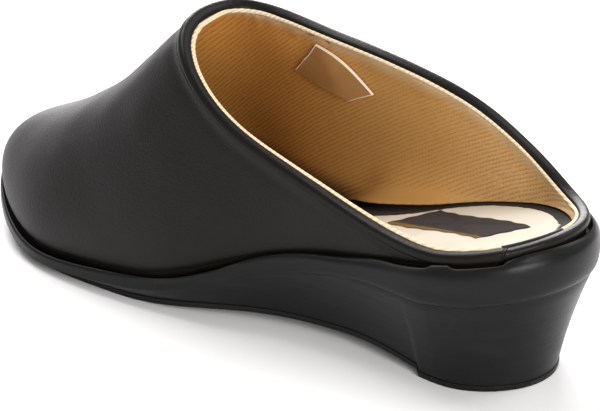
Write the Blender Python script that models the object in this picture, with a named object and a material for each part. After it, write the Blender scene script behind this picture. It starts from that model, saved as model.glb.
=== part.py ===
"""A wedge mule for the left foot, one object for each piece that a maker puts together.

A moulded unit sole with a wedge heel carries a hollow closed-toe upper, whose wall runs on low
round the back of the heel. A padded roll binds the topline. Inside lie a footbed, a sock lining
over its heel and a woven patch on the sock, and a tab of smooth leather is sewn to the lining.

The tables and sizes are in millimetres, and the meshes in metres. The toe points to -Y, the left
side of the shoe to +X, and the origin is on the floor under the middle of the whole shoe.
"""

from collections import namedtuple

import bmesh
import bpy
import numpy as np

MM = 0.001

# Driving sizes
SOLE_LENGTH = 255.0
BALL_WIDTH = 92.0
HEEL_HEIGHT = 51.0
THROAT_HEIGHT = 95.5
THROAT_ALONG = 0.595
ARCH_LIFT = 4.3
TOE_SPRING = 8.5

# Walls, layers and the play between them
PLAY = 0.35
WALL = 2.6
ROLL_WIDE = 4.6
ROLL_TALL = 4.2
SEAT_DEPTH = 3.2
FOOTBED_RISE = 0.9
FOOTBED_DISH = 1.2
SOCK_THICK = 0.9
PATCH_THICK = 0.5
TAB_THICK = 0.8

# The last's ends and the way that its sections arch
HEEL_LEDGE = 5.0
TOE_LEDGE = 5.5
HEEL_ROUND = 39.0
TOE_ROUND = 55.0
END_POWER = 2.1
ARCH_POWER = 2.3
ARCH_ROOT = 2.0
BULGE_RISE = 12.0

# How far the collar's inner centre line stops short of the throat and of the heel
THROAT_CORNER = 22.0
BACK_CORNER = 30.0

# How finely the forms are cut
STATIONS = 44
SHELL_RINGS = 13
ROLL_SIDES = 8
CAP_SCALE = 0.55
HEEL_TREAD_END = 0.180
TREAD_STEP_RUN = 1.6

# Half widths of the feather line, where the upper meets the sole, as shares of BALL_WIDTH
PlanRow = namedtuple("PlanRow", "along left right")
PLAN = (
    PlanRow(0.00, 0.327, 0.326),
    PlanRow(0.12, 0.358, 0.344),
    PlanRow(0.28, 0.325, 0.303),
    PlanRow(0.42, 0.352, 0.288),
    PlanRow(0.55, 0.450, 0.350),
    PlanRow(0.66, 0.478, 0.440),
    PlanRow(0.76, 0.468, 0.480),
    PlanRow(0.88, 0.393, 0.480),
    PlanRow(1.00, 0.318, 0.441),
)

# Height of the feather line, as a share of HEEL_HEIGHT
FeatherRow = namedtuple("FeatherRow", "along height")
FEATHER = (
    FeatherRow(0.00, 1.000),
    FeatherRow(0.12, 0.896),
    FeatherRow(0.28, 0.720),
    FeatherRow(0.42, 0.525),
    FeatherRow(0.55, 0.272),
    FeatherRow(0.66, 0.182),
    FeatherRow(0.80, 0.146),
    FeatherRow(1.00, 0.388),
)

# Rise of the ridge over the foot above the feather line, as a share of the throat's rise. Behind
# the throat it only gives the side walls their arch
CrestRow = namedtuple("CrestRow", "along rise")
CREST = (
    CrestRow(0.00, 0.710),
    CrestRow(0.30, 0.911),
    CrestRow(0.40, 1.033),
    CrestRow(0.50, 1.115),
    CrestRow(0.60, 0.999),
    CrestRow(0.70, 0.739),
    CrestRow(0.80, 0.523),
    CrestRow(0.90, 0.366),
    CrestRow(1.00, 0.293),
)

# Rise of the topline above the feather line on each side, as a share of the throat's rise
ToplineRow = namedtuple("ToplineRow", "along left right")
TOPLINE = (
    ToplineRow(0.000, 0.073, 0.068),
    ToplineRow(0.100, 0.047, 0.098),
    ToplineRow(0.220, 0.123, 0.407),
    ToplineRow(0.340, 0.288, 0.632),
    ToplineRow(0.460, 0.554, 0.809),
    ToplineRow(0.555, 0.872, 0.970),
    ToplineRow(0.620, 1.068, 1.045),
)

# Sole sections. band is how tall the moulded band under the feather line is and out how far it
# stands out, as shares of HEEL_HEIGHT. groove is the gap between upper and lip, tuck how far the
# bottom edge lies inside the feather line and swell how far the upper bellies out, as shares of
# BALL_WIDTH
SoleRow = namedtuple("SoleRow", "along band out groove tuck swell")
SOLE = (
    SoleRow(0.00, 0.250, 0.090, 0.000, 0.102, 0.002),
    SoleRow(0.12, 0.250, 0.088, 0.000, 0.078, 0.002),
    SoleRow(0.28, 0.228, 0.074, 0.000, 0.078, 0.006),
    SoleRow(0.42, 0.180, 0.050, 0.000, 0.040, 0.012),
    SoleRow(0.50, 0.150, 0.044, 0.003, 0.025, 0.016),
    SoleRow(0.58, 0.110, 0.056, 0.016, 0.014, 0.020),
    SoleRow(0.72, 0.085, 0.068, 0.024, 0.008, 0.025),
    SoleRow(0.88, 0.080, 0.054, 0.018, 0.010, 0.028),
    SoleRow(1.00, 0.080, 0.034, 0.010, 0.014, 0.028),
)

# Underside of the sole: rise is a share of ARCH_LIFT ahead of the heel tread, and of TOE_SPRING
# ahead of the forefoot's flat
ArchRow = namedtuple("ArchRow", "along rise")
ARCH = (
    ArchRow(0.18, 0.50),
    ArchRow(0.24, 0.92),
    ArchRow(0.32, 1.0),
    ArchRow(0.42, 0.97),
    ArchRow(0.50, 0.58),
    ArchRow(0.57, 0.16),
    ArchRow(0.61, 0.0),
)
FLAT_END = 0.80

# One section of the sole's side: across runs from the groove's inner side at 0 to the band's
# greatest stand-out at 1, down from the feather line at 0 to the band's foot at 1
BandPoint = namedtuple("BandPoint", "across down")
BAND = (
    BandPoint(0.10, 0.00),
    BandPoint(0.50, -0.02),
    BandPoint(0.82, 0.09),
    BandPoint(0.97, 0.28),
    BandPoint(1.00, 0.52),
    BandPoint(0.93, 0.80),
    BandPoint(0.76, 0.97),
    BandPoint(0.58, 1.04),
)

# The wall below the band: share of the way down to the tread, and how far it hollows
WallPoint = namedtuple("WallPoint", "down hollow")
SOLE_WALL = (
    WallPoint(0.22, 0.7),
    WallPoint(0.50, 1.0),
    WallPoint(0.80, 0.6),
)
WALL_HOLLOW = 1.0
TREAD_LIP = 0.9
TREAD_TALL = 1.9

# The sock lining: how far it reaches to each side, as a share of the footbed's half width
SockRow = namedtuple("SockRow", "along reach")
SOCK = (
    SockRow(0.063, 0.00),
    SockRow(0.072, 0.43),
    SockRow(0.090, 0.61),
    SockRow(0.125, 0.76),
    SockRow(0.176, 0.81),
    SockRow(0.221, 0.78),
    SockRow(0.258, 0.66),
    SockRow(0.290, 0.48),
    SockRow(0.330, 0.33),
    SockRow(0.380, 0.30),
    SockRow(0.430, 0.28),
    SockRow(0.452, 0.20),
    SockRow(0.460, 0.00),
)

# The woven patch is a leaning four-sided piece: its middle, and its half length and half width
# as (x, y) steps
PATCH_MIDDLE = (-2.7, 76.0)
PATCH_HALF_LONG = (3.7, 20.8)
PATCH_HALF_WIDE = (-7.0, 5.5)
PATCH_WAVE = 0.10

# Corners of the leather tab on the right side's lining: share of the length, and of the wall's
# rise, of the feather point below it
TabCorner = namedtuple("TabCorner", "along rise")
TAB = (
    TabCorner(0.482, 0.910),
    TabCorner(0.393, 0.705),
    TabCorner(0.434, 0.625),
    TabCorner(0.532, 0.716),
)
TAB_ARCH = 0.05


def natural_curve(knots, values):
    """A smooth curve through the given values, as a function of a number or an array."""
    knots, values = np.array(knots, float), np.array(values, float)
    gaps = np.diff(knots)
    matrix = np.eye(len(knots))
    right = np.zeros(len(knots))
    for i in range(1, len(knots) - 1):
        matrix[i, i - 1], matrix[i, i], matrix[i, i + 1] = gaps[i - 1], 2 * (gaps[i - 1] + gaps[i]), gaps[i]
        right[i] = 6 * ((values[i + 1] - values[i]) / gaps[i] - (values[i] - values[i - 1]) / gaps[i - 1])
    bend = np.linalg.solve(matrix, right)

    def curve(at):
        at = np.clip(np.asarray(at, float), knots[0], knots[-1])
        k = np.clip(np.searchsorted(knots, at) - 1, 0, len(knots) - 2)
        step, gap = at - knots[k], gaps[k]
        slope = (values[k + 1] - values[k]) / gap - gap * (2 * bend[k] + bend[k + 1]) / 6
        return values[k] + step * (slope + step * (bend[k] / 2 + step * (bend[k + 1] - bend[k]) / (6 * gap)))

    return curve


def column_curve(rows, name, unit):
    """The curve of one named column of a table, in units of the size that it is a share of."""
    return natural_curve([row.along for row in rows], [getattr(row, name) * unit for row in rows])


LEFT_HALF = column_curve(PLAN, "left", BALL_WIDTH)
RIGHT_HALF = column_curve(PLAN, "right", BALL_WIDTH)
FEATHER_HEIGHT = column_curve(FEATHER, "height", HEEL_HEIGHT)
THROAT_RISE = THROAT_HEIGHT - FEATHER_HEIGHT(THROAT_ALONG)
CREST_RISE = column_curve(CREST, "rise", THROAT_RISE)
LEFT_RISE = column_curve(TOPLINE, "left", THROAT_RISE)
RIGHT_RISE = column_curve(TOPLINE, "right", THROAT_RISE)
BAND_TALL = column_curve(SOLE, "band", HEEL_HEIGHT)
BAND_OUT = column_curve(SOLE, "out", HEEL_HEIGHT)
GROOVE = column_curve(SOLE, "groove", BALL_WIDTH)
TUCK = column_curve(SOLE, "tuck", BALL_WIDTH)
SWELL = column_curve(SOLE, "swell", BALL_WIDTH)
ARCH_RISE = column_curve(ARCH, "rise", ARCH_LIFT)


def along(y):
    """Share of the sole's length from the heel."""
    return 0.5 - np.asarray(y) / SOLE_LENGTH


def y_at(share):
    return (0.5 - np.asarray(share)) * SOLE_LENGTH


HEEL_Y = y_at(0) - HEEL_LEDGE
TOE_Y = y_at(1) + TOE_LEDGE


def middle(y):
    return (LEFT_HALF(along(y)) - RIGHT_HALF(along(y))) / 2


def half_width(y):
    return (LEFT_HALF(along(y)) + RIGHT_HALF(along(y))) / 2


def smooth_step(value):
    value = np.clip(value, 0, 1)
    return value * value * (3 - 2 * value)


def reach(x, y):
    """How far out a place lies in plan: 0 on the centre line and 1 on the feather line."""
    across = np.abs(x - middle(y)) / half_width(y)
    ahead = np.maximum(0, TOE_Y + TOE_ROUND - y) / TOE_ROUND
    behind = np.maximum(0, y - HEEL_Y + HEEL_ROUND) / HEEL_ROUND
    end = np.where(y < 0, ahead, behind)
    return (across**END_POWER + end**END_POWER) ** (1 / END_POWER)


def last_height(x, y):
    """Height of the upper's outer face over a place in plan."""
    arch = (1 - np.clip(reach(x, y), 0, 1) ** ARCH_POWER) ** (1 / ARCH_ROOT)
    return FEATHER_HEIGHT(along(y)) + CREST_RISE(along(y)) * arch


def cut_height(x, y):
    """Height at which the collar is cut. Ahead of the throat it climbs, so nothing is cut there."""
    share = along(y)
    side = smooth_step(0.5 + 0.5 * (x - middle(y)) / half_width(y))
    climb = np.maximum(0, share - THROAT_ALONG) * SOLE_LENGTH * 2
    rise = RIGHT_RISE(share) + (LEFT_RISE(share) - RIGHT_RISE(share)) * side
    return FEATHER_HEIGHT(share) + rise + climb


def side_stations():
    """(y, width share) from the back of the heel to the tip of the toe, evenly along the side."""
    turn = np.linspace(0, np.pi / 2, 200)
    heel = HEEL_Y - HEEL_ROUND + HEEL_ROUND * np.cos(turn) ** (2 / END_POWER)
    toe = TOE_Y + TOE_ROUND - TOE_ROUND * np.sin(turn) ** (2 / END_POWER)
    straight = np.linspace(heel[-1], toe[0], 200)[1:-1]
    y = np.concatenate([heel, straight, toe])
    share = np.concatenate(
        [np.sin(turn) ** (2 / END_POWER), np.ones(len(straight)), np.cos(turn) ** (2 / END_POWER)]
    )
    run = np.concatenate([[0], np.cumsum(np.hypot(np.diff(half_width(y) * share), np.diff(y)))])
    even = np.linspace(0, run[-1], STATIONS + 1)
    y, share = np.interp(even, run, y), np.interp(even, run, share)
    step_y = y_at(HEEL_TREAD_END)
    nearest = int(np.argmin(np.abs(y - step_y)))
    y[nearest], y[nearest + 1] = step_y, step_y - TREAD_STEP_RUN
    return y, share


def round_the_last(y, share):
    """Plan points of the feather line: heel, left side, toe, right side."""
    left = np.stack([middle(y) + half_width(y) * share, y], 1)
    right = np.stack([middle(y) - half_width(y) * share, y], 1)
    return np.concatenate([left, right[-2:0:-1]])


def outward(points):
    """Unit plan normals of a closed outline that runs heel, left, toe, right."""
    along_it = np.roll(points, -1, 0) - np.roll(points, 1, 0)
    along_it = along_it / np.linalg.norm(along_it, axis=1)[:, None]
    return np.stack([-along_it[:, 1], along_it[:, 0]], 1)


PLAN_LOOP = round_the_last(*side_stations())
PLAN_OUT = outward(PLAN_LOOP)
LOOP_SHARE = along(PLAN_LOOP[:, 1])
FEATHER_LOOP = FEATHER_HEIGHT(LOOP_SHARE)


def centre_line(y):
    """The nearest place of the shoe's inner centre line, which stops short of both ends."""
    inner = np.clip(y, TOE_Y + TOE_ROUND, HEEL_Y - HEEL_ROUND)
    return np.stack([middle(inner), inner], -1)


def collar_points():
    """Plan points of the topline, on the straight way in from each point of the feather line."""
    throat_y, back_y = y_at(THROAT_ALONG) + THROAT_CORNER, HEEL_Y - BACK_CORNER
    inner_y = np.clip(PLAN_LOOP[:, 1], throat_y, back_y)
    inner = np.stack([middle(inner_y), inner_y], 1)
    ways = np.linspace(0, 1, 240)
    places = PLAN_LOOP[:, None] + (inner - PLAN_LOOP)[:, None] * ways[None, :, None]
    over = last_height(places[..., 0], places[..., 1]) - cut_height(places[..., 0], places[..., 1])
    crossing = (over[:, :-1] < 0) & (over[:, 1:] >= 0)
    first = crossing.argmax(1)
    final = crossing.shape[1] - 1 - crossing[:, ::-1].argmax(1)
    at = np.where(PLAN_LOOP[:, 1] < throat_y, final, first)
    row = np.arange(len(at))
    below, above = over[row, at], over[row, at + 1]
    part = (-below / (above - below))[:, None]
    return places[row, at] * (1 - part) + places[row, at + 1] * part


def shell_point(ease, collar):
    """Outer face of the upper, at shares of the way from the feather line to the topline."""
    plan = PLAN_LOOP + (collar - PLAN_LOOP) * (1 - np.cos(ease * np.pi / 2))[:, None]
    height = last_height(plan[:, 0], plan[:, 1])
    rise = (height - FEATHER_LOOP) / BULGE_RISE
    belly = SWELL(LOOP_SHARE) * rise * np.exp(1 - rise)
    plan = plan + PLAN_OUT * belly[:, None]
    return np.column_stack([plan, height])


def grid_normals(grid):
    """Outward normals of a grid of rings, rows running up and columns round."""
    up = np.gradient(grid, axis=0)
    around = np.roll(grid, -1, 1) - np.roll(grid, 1, 1)
    normals = np.cross(up, around)
    return normals / np.linalg.norm(normals, axis=2)[..., None]


def shell_grids():
    """Outer face of the upper from feather line to topline, its normals, and the rise along it."""
    collar = collar_points()
    eases = np.linspace(0, 1, 4 * SHELL_RINGS)
    grid = np.array([shell_point(np.full(len(collar), ease), collar) for ease in eases])
    run = np.concatenate(
        [np.zeros((1, len(collar))), np.cumsum(np.linalg.norm(np.diff(grid, axis=0), axis=2), axis=0)]
    )
    normals = grid_normals(grid)
    return grid, normals, run


SHELL, SHELL_NORMALS, SHELL_RUN = shell_grids()


def shell_at(run_share, depth, stop_short=0.0):
    """Ring at a share of the rise, so deep inside the outer face, ending short of the topline."""
    ring = np.empty((len(PLAN_LOOP), 3))
    for j in range(len(PLAN_LOOP)):
        at = run_share * (SHELL_RUN[-1, j] - stop_short)
        place = [np.interp(at, SHELL_RUN[:, j], SHELL[:, j, k]) for k in range(3)]
        normal = np.array([np.interp(at, SHELL_RUN[:, j], SHELL_NORMALS[:, j, k]) for k in range(3)])
        ring[j] = np.array(place) - normal / np.linalg.norm(normal) * depth
    return ring


def offset_ring(out, height, scale=1.0):
    """Ring so far outside the feather line, drawn in by the scale, at height(share) over its own places."""
    plan = PLAN_LOOP + PLAN_OUT * np.broadcast_to(out, len(PLAN_LOOP))[:, None]
    inner = centre_line(plan[:, 1])
    plan = inner + (plan - inner) * scale
    return np.column_stack([plan, height(along(plan[:, 1]))])


def seat(share):
    """Height of the sole's seat, which carries the upper and the footbed."""
    return FEATHER_HEIGHT(share) - SEAT_DEPTH


def new_material(name, colour, roughness):
    """A Principled material of the piece's plain colour."""
    material = bpy.data.materials.new(name)
    material.use_nodes = True
    shader = material.node_tree.nodes["Principled BSDF"]
    shader.inputs["Base Color"].default_value = (*colour, 1)
    shader.inputs["Roughness"].default_value = roughness
    shader.inputs["Metallic"].default_value = 0.0
    return material


def add_piece(name, shape, finish, parent):
    """The object of one closed body, shaded smooth and faced outward."""
    bmesh.ops.recalc_face_normals(shape, faces=shape.faces)
    mesh = bpy.data.meshes.new(name)
    shape.to_mesh(mesh)
    shape.free()
    mesh.shade_smooth()
    mesh.set_sharp_from_angle(angle=np.radians(40))
    mesh.materials.append(finish)
    piece = bpy.data.objects.new(name, mesh)
    bpy.context.collection.objects.link(piece)
    piece.parent = parent
    return piece


def ringed_shape(rings, ends):
    """One closed body from rings of equal length, joined into a loop or closed by two caps."""
    shape = bmesh.new()
    rows = [[shape.verts.new(point * MM) for point in ring] for ring in rings]
    count = len(rows[0])
    pairs = list(zip(rows, rows[1:]))
    if ends == "loop":
        pairs.append((rows[-1], rows[0]))
    for lower, upper in pairs:
        for j in range(count):
            k = (j + 1) % count
            shape.faces.new((lower[j], lower[k], upper[k], upper[j]))
    if ends == "caps":
        for row in (rows[0], rows[-1]):
            close_between_sides(shape, row)
    return shape


def close_between_sides(shape, row):
    """Closes a ring with strips from its left half to its right half."""
    half = len(row) // 2
    for j in range(half):
        corners = [row[j], row[j + 1], row[-j - 1], row[-j]]
        shape.faces.new(dict.fromkeys(corners))


def underside(share):
    """Height of the sole's bottom: two treads on the floor, the arch and the toe spring."""
    arch = np.where(share > HEEL_TREAD_END + 1e-6, ARCH_RISE(share), 0)
    spring = TOE_SPRING * (np.maximum(0, share - FLAT_END) / (1 - FLAT_END)) ** 2
    return arch + spring


def make_sole(finish, parent):
    """Seat, groove, lip, moulded band, hollowed wall and treads in one body."""
    inner, out = PLAY + GROOVE(LOOP_SHARE), BAND_OUT(LOOP_SHARE)
    foot = BAND[-1]
    top_out, low_out = inner + (out - inner) * foot.across, -TUCK(LOOP_SHARE)

    def band_height(down):
        return lambda share: FEATHER_HEIGHT(share) - BAND_TALL(share) * down

    def wall_height(down):
        top = band_height(foot.down)
        return lambda share: top(share) + (underside(share) + TREAD_TALL - top(share)) * down

    def tread_height(lift):
        return lambda share: underside(share) + TREAD_TALL * lift

    rings = [offset_ring(inner, seat, CAP_SCALE), offset_ring(inner, seat)]
    for point in BAND:
        rings.append(offset_ring(inner + (out - inner) * point.across, band_height(point.down)))
    for point in SOLE_WALL:
        out_here = top_out + (low_out - top_out) * point.down - point.hollow * WALL_HOLLOW
        rings.append(offset_ring(out_here, wall_height(point.down)))
    rings.append(offset_ring(low_out, tread_height(1)))
    rings.append(offset_ring(low_out + TREAD_LIP, tread_height(0.65)))
    rings.append(offset_ring(low_out + TREAD_LIP * 0.6, underside))
    rings.append(offset_ring(low_out + TREAD_LIP * 0.6, underside, CAP_SCALE))
    return add_piece("unit_sole", ringed_shape(rings, "caps"), finish, parent)


def make_upper(finish, parent):
    """One hollow wall, open at the collar and underneath, standing on the sole's seat."""
    stop_short = ROLL_TALL + PLAY
    shares = np.linspace(0, 1, SHELL_RINGS) ** 1.25

    def foot(share):
        return seat(share) + PLAY

    outer = [offset_ring(0, foot)] + [shell_at(share, 0, stop_short) for share in shares]
    inner = [shell_at(share, WALL, stop_short) for share in shares[::-1]] + [offset_ring(-WALL, foot)]
    return add_piece("upper", ringed_shape(outer + inner, "loop"), finish, parent)


def make_roll(finish, parent):
    """The padded binding: one closed cord-like loop on the wall's edge."""
    across = SHELL_NORMALS[-1]
    upward = shell_at(1, 0) - shell_at(1, 0, ROLL_TALL)
    upward = upward / np.linalg.norm(upward, axis=1)[:, None]
    centre = shell_at(1, WALL / 2, ROLL_TALL / 2)
    rings = []
    for turn in (np.arange(ROLL_SIDES) + 0.5) * 2 * np.pi / ROLL_SIDES:
        squash = 1 / max(abs(np.cos(turn)), abs(np.sin(turn))) ** 0.55
        wide = np.cos(turn) * squash * ROLL_WIDE / 2
        tall = np.sin(turn) * squash * ROLL_TALL / 2
        rings.append(centre + across * wide + upward * tall)
    return add_piece("topline_roll", ringed_shape(rings, "loop"), finish, parent)


def footbed_top(x, y):
    """Height of the footbed's upper face, dished towards the middle of the heel."""
    dish = FOOTBED_DISH * (1 - np.clip(reach(x, y), 0, 1) ** 2) * smooth_step(1.6 - 2.4 * along(y))
    return FEATHER_HEIGHT(along(y)) + FOOTBED_RISE - dish


def make_footbed(finish, parent):
    """The insole inside the wall, lying on the seat."""
    inset = -(WALL + 2 * PLAY)

    def low(share):
        return seat(share) + PLAY

    rings = [offset_ring(inset, low, CAP_SCALE), offset_ring(inset, low)]
    for scale in (1.0, 0.8, CAP_SCALE, CAP_SCALE / 2):
        ring = offset_ring(inset, FEATHER_HEIGHT, scale)
        ring[:, 2] = footbed_top(ring[:, 0], ring[:, 1])
        rings.append(ring)
    return add_piece("footbed", ringed_shape(rings, "caps"), finish, parent)


def sock_outline(scale):
    """Plan outline of the sock lining, drawn in by the scale about its own middle."""
    y = y_at([row.along for row in SOCK])
    room = (half_width(y) - WALL - 2 * PLAY) * [row.reach for row in SOCK]
    left = np.stack([middle(y) + room, y], 1)
    right = np.stack([middle(y) - room, y], 1)
    loop = np.concatenate([left, right[-2:0:-1]])
    inner_y = np.clip(loop[:, 1], y[-4], y[3])
    inner = np.stack([middle(inner_y), inner_y], 1)
    return inner + (loop - inner) * scale


def sheet_rings(outline_at, scales, low, high):
    """Rings of a thin sheet on the footbed between two heights above it."""
    rings = []
    for scale, lift in [(s, low) for s in scales] + [(s, high) for s in scales[::-1]]:
        plan = outline_at(scale)
        rings.append(np.column_stack([plan, footbed_top(plan[:, 0], plan[:, 1]) + lift]))
    return rings


def make_sock(finish, parent):
    """The sock lining on the heel of the footbed."""
    rings = sheet_rings(sock_outline, (0.3, 0.65, 1.0), PLAY, PLAY + SOCK_THICK)
    return add_piece("sock_lining", ringed_shape(rings, "caps"), finish, parent)


def patch_outline(scale):
    """The patch's leaning outline, its long sides a little wavy."""
    run = np.linspace(-1, 1, 13)
    wave = PATCH_WAVE * np.sin(run * np.pi)
    side, other = np.stack([run, wave + 1], 1), np.stack([run, wave - 1], 1)
    loop = np.concatenate([[[-1, 0]], side, [[1, 0]], other[::-1]]) * scale
    return np.array(PATCH_MIDDLE) + loop @ np.array([PATCH_HALF_LONG, PATCH_HALF_WIDE])


def make_patch(finish, parent):
    """The woven patch on the sock."""
    base = 2 * PLAY + SOCK_THICK
    rings = sheet_rings(patch_outline, (0.35, 0.7, 1.0), base, base + PATCH_THICK)
    return add_piece("sock_patch", ringed_shape(rings, "caps"), finish, parent)


def right_wall_place(share, rise, depth):
    """A place so deep in the right side's wall, above the feather point at a share of the length."""
    half = len(PLAN_LOOP) // 2
    columns = np.arange(2 * half - 1, half, -1)
    column = np.interp(share, LOOP_SHARE[columns], columns)
    low = int(column)
    part = column - low
    ring = shell_at(rise, depth)
    return ring[low] * (1 - part) + ring[low + 1] * part


def tab_layer(depth):
    """Grid of places across the tab at one depth, its upper edge arched."""
    top_rear, top_front, low_front, low_rear = (np.array(corner) for corner in TAB)
    grid = []
    for down in np.linspace(0, 1, 4):
        row = []
        for forward in np.linspace(0, 1, 8):
            top = top_rear + (top_front - top_rear) * forward
            low = low_rear + (low_front - low_rear) * forward
            share, rise = top + (low - top) * down
            rise += TAB_ARCH * np.sin(np.pi * forward) * (1 - down)
            row.append(right_wall_place(share, rise, depth))
        grid.append(row)
    return np.array(grid)


def make_tab(finish, parent):
    """The leather tab on the right side's lining, bent to the wall."""
    layers = [tab_layer(WALL + PLAY), tab_layer(WALL + PLAY + TAB_THICK)]
    shape = bmesh.new()
    verts = [[[shape.verts.new(place * MM) for place in row] for row in layer] for layer in layers]
    rows, columns = layers[0].shape[:2]
    for layer in verts:
        for i in range(rows - 1):
            for j in range(columns - 1):
                shape.faces.new((layer[i][j], layer[i][j + 1], layer[i + 1][j + 1], layer[i + 1][j]))
    rim = [(0, j) for j in range(columns)] + [(i, columns - 1) for i in range(1, rows)]
    rim += [(rows - 1, j) for j in range(columns - 2, -1, -1)] + [(i, 0) for i in range(rows - 2, 0, -1)]
    for (i, j), (k, m) in zip(rim, rim[1:] + rim[:1]):
        shape.faces.new((verts[0][i][j], verts[0][k][m], verts[1][k][m], verts[1][i][j]))
    return add_piece("lining_tab", shape, finish, parent)


def centre_on_origin(holder, pieces):
    """Moves the holder so that the middle of the shoe's box stands on the origin."""
    corners = np.array([vertex.co for piece in pieces for vertex in piece.data.vertices])
    low, high = corners.min(0), corners.max(0)
    holder.location = (-(low[0] + high[0]) / 2, -(low[1] + high[1]) / 2, -low[2])


def main():
    for obj in list(bpy.data.objects):
        bpy.data.objects.remove(obj, do_unlink=True)
    holder = bpy.data.objects.new("shoe", None)
    bpy.context.collection.objects.link(holder)
    sole = new_material("sole_black", (0.030, 0.028, 0.027), 0.55)
    leather = new_material("leather_black", (0.040, 0.037, 0.035), 0.50)
    binding = new_material("binding_black", (0.032, 0.030, 0.029), 0.50)
    board = new_material("footbed_black", (0.045, 0.035, 0.028), 0.80)
    cream = new_material("sock_cream", (0.80, 0.74, 0.62), 0.85)
    woven = new_material("patch_dark", (0.055, 0.048, 0.045), 0.80)
    tan = new_material("tab_tan", (0.45, 0.27, 0.12), 0.55)
    pieces = [
        make_sole(sole, holder),
        make_upper(leather, holder),
        make_roll(binding, holder),
        make_footbed(board, holder),
        make_sock(cream, holder),
        make_patch(woven, holder),
        make_tab(tan, holder),
    ]
    centre_on_origin(holder, pieces)


main()
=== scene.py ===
"""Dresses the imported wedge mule: leather, knit lining, sock and moulded sole over the CAD frame.

Sizes are in millimetres in the last's own frame, where the toe points to -Y and the left side of
the shoe to +X. Meshes are written in metres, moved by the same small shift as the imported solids.
"""

from __future__ import annotations

import logging
from dataclasses import dataclass, field
from enum import Enum
from functools import partial
from typing import Callable, Optional, Union

import bpy
import numpy as np
from mathutils import Matrix, Vector

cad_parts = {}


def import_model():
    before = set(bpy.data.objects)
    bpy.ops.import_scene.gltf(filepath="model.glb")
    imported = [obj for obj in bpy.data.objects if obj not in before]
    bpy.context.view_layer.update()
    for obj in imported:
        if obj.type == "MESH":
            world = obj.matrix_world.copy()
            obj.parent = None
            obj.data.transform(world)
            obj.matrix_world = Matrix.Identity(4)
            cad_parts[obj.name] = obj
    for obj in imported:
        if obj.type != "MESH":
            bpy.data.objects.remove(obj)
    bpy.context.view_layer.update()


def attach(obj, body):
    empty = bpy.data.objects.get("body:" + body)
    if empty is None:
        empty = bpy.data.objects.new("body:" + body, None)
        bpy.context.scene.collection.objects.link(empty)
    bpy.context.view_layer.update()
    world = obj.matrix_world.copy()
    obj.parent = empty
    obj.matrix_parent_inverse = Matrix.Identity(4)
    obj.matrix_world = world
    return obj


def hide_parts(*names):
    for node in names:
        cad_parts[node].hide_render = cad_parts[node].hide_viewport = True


MM = 0.001
BODY = "root"
Rows = tuple[tuple[float, ...], ...]
Pair = tuple[float, float]
Place = tuple[float, float, float]
Colour = tuple[float, float, float]
Array = np.ndarray
Piece = bpy.types.Object
Finish = bpy.types.Material
Mesh = bpy.types.Mesh
log = logging.getLogger("wedge_mule")


class Curve:
    """A smooth curve through given values, flat beyond both ends."""

    def __init__(self, knots: list[float], values: list[float]) -> None:
        """Fits a natural cubic.

        Args:
            knots: rising places of the values.
            values: what the curve passes through.
        """
        self.knots, self.values = np.array(knots, float), np.array(values, float)
        self.gaps = np.diff(self.knots)
        size = len(self.knots)
        matrix, right = np.eye(size), np.zeros(size)
        for i in range(1, size - 1):
            before, after = self.gaps[i - 1], self.gaps[i]
            matrix[i, i - 1 : i + 2] = before, 2 * (before + after), after
            rise = (self.values[i + 1] - self.values[i]) / after
            right[i] = 6 * (rise - (self.values[i] - self.values[i - 1]) / before)
        self.bend = np.linalg.solve(matrix, right)

    def __call__(self, at: Array) -> Array:
        """Reads the curve.

        Args:
            at: one place or an array of them.

        Returns:
            The curve's values there.
        """
        at = np.clip(np.asarray(at, float), self.knots[0], self.knots[-1])
        k = np.clip(np.searchsorted(self.knots, at) - 1, 0, len(self.knots) - 2)
        step, gap, bend = at - self.knots[k], self.gaps[k], self.bend
        slope = (self.values[k + 1] - self.values[k]) / gap - gap * (2 * bend[k] + bend[k + 1]) / 6
        cubic = step * (bend[k + 1] - bend[k]) / (6 * gap)
        return self.values[k] + step * (slope + step * (bend[k] / 2 + cubic))


def curve_of(rows: Rows, column: int, unit: float = 1.0) -> Curve:
    """The curve of one column of a table over its first column.

    Args:
        rows: table whose first column rises.
        column: which column holds the values.
        unit: size that the values are shares of.

    Returns:
        The fitted curve.
    """
    return Curve([row[0] for row in rows], [row[column] * unit for row in rows])


def smooth_step(value: Array) -> Array:
    """Rises softly from 0 to 1 as the value does."""
    value = np.clip(value, 0, 1)
    return value * value * (3 - 2 * value)


def hump(value: Array, middle: float, wide: float) -> Array:
    """A bell of height 1 about the middle."""
    return np.exp(-(((value - middle) / wide) ** 2))


def window(value: Array, high: float, fall: float, low: float, rise: float) -> Array:
    """Is 1 between low and high, with a soft edge as wide as the rise and the fall."""
    return smooth_step((high - value) / fall) * smooth_step((value - low) / rise)


def unit(vectors: Array) -> Array:
    """Vectors of length one along the last axis."""
    return vectors / np.linalg.norm(vectors, axis=-1, keepdims=True)


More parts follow.
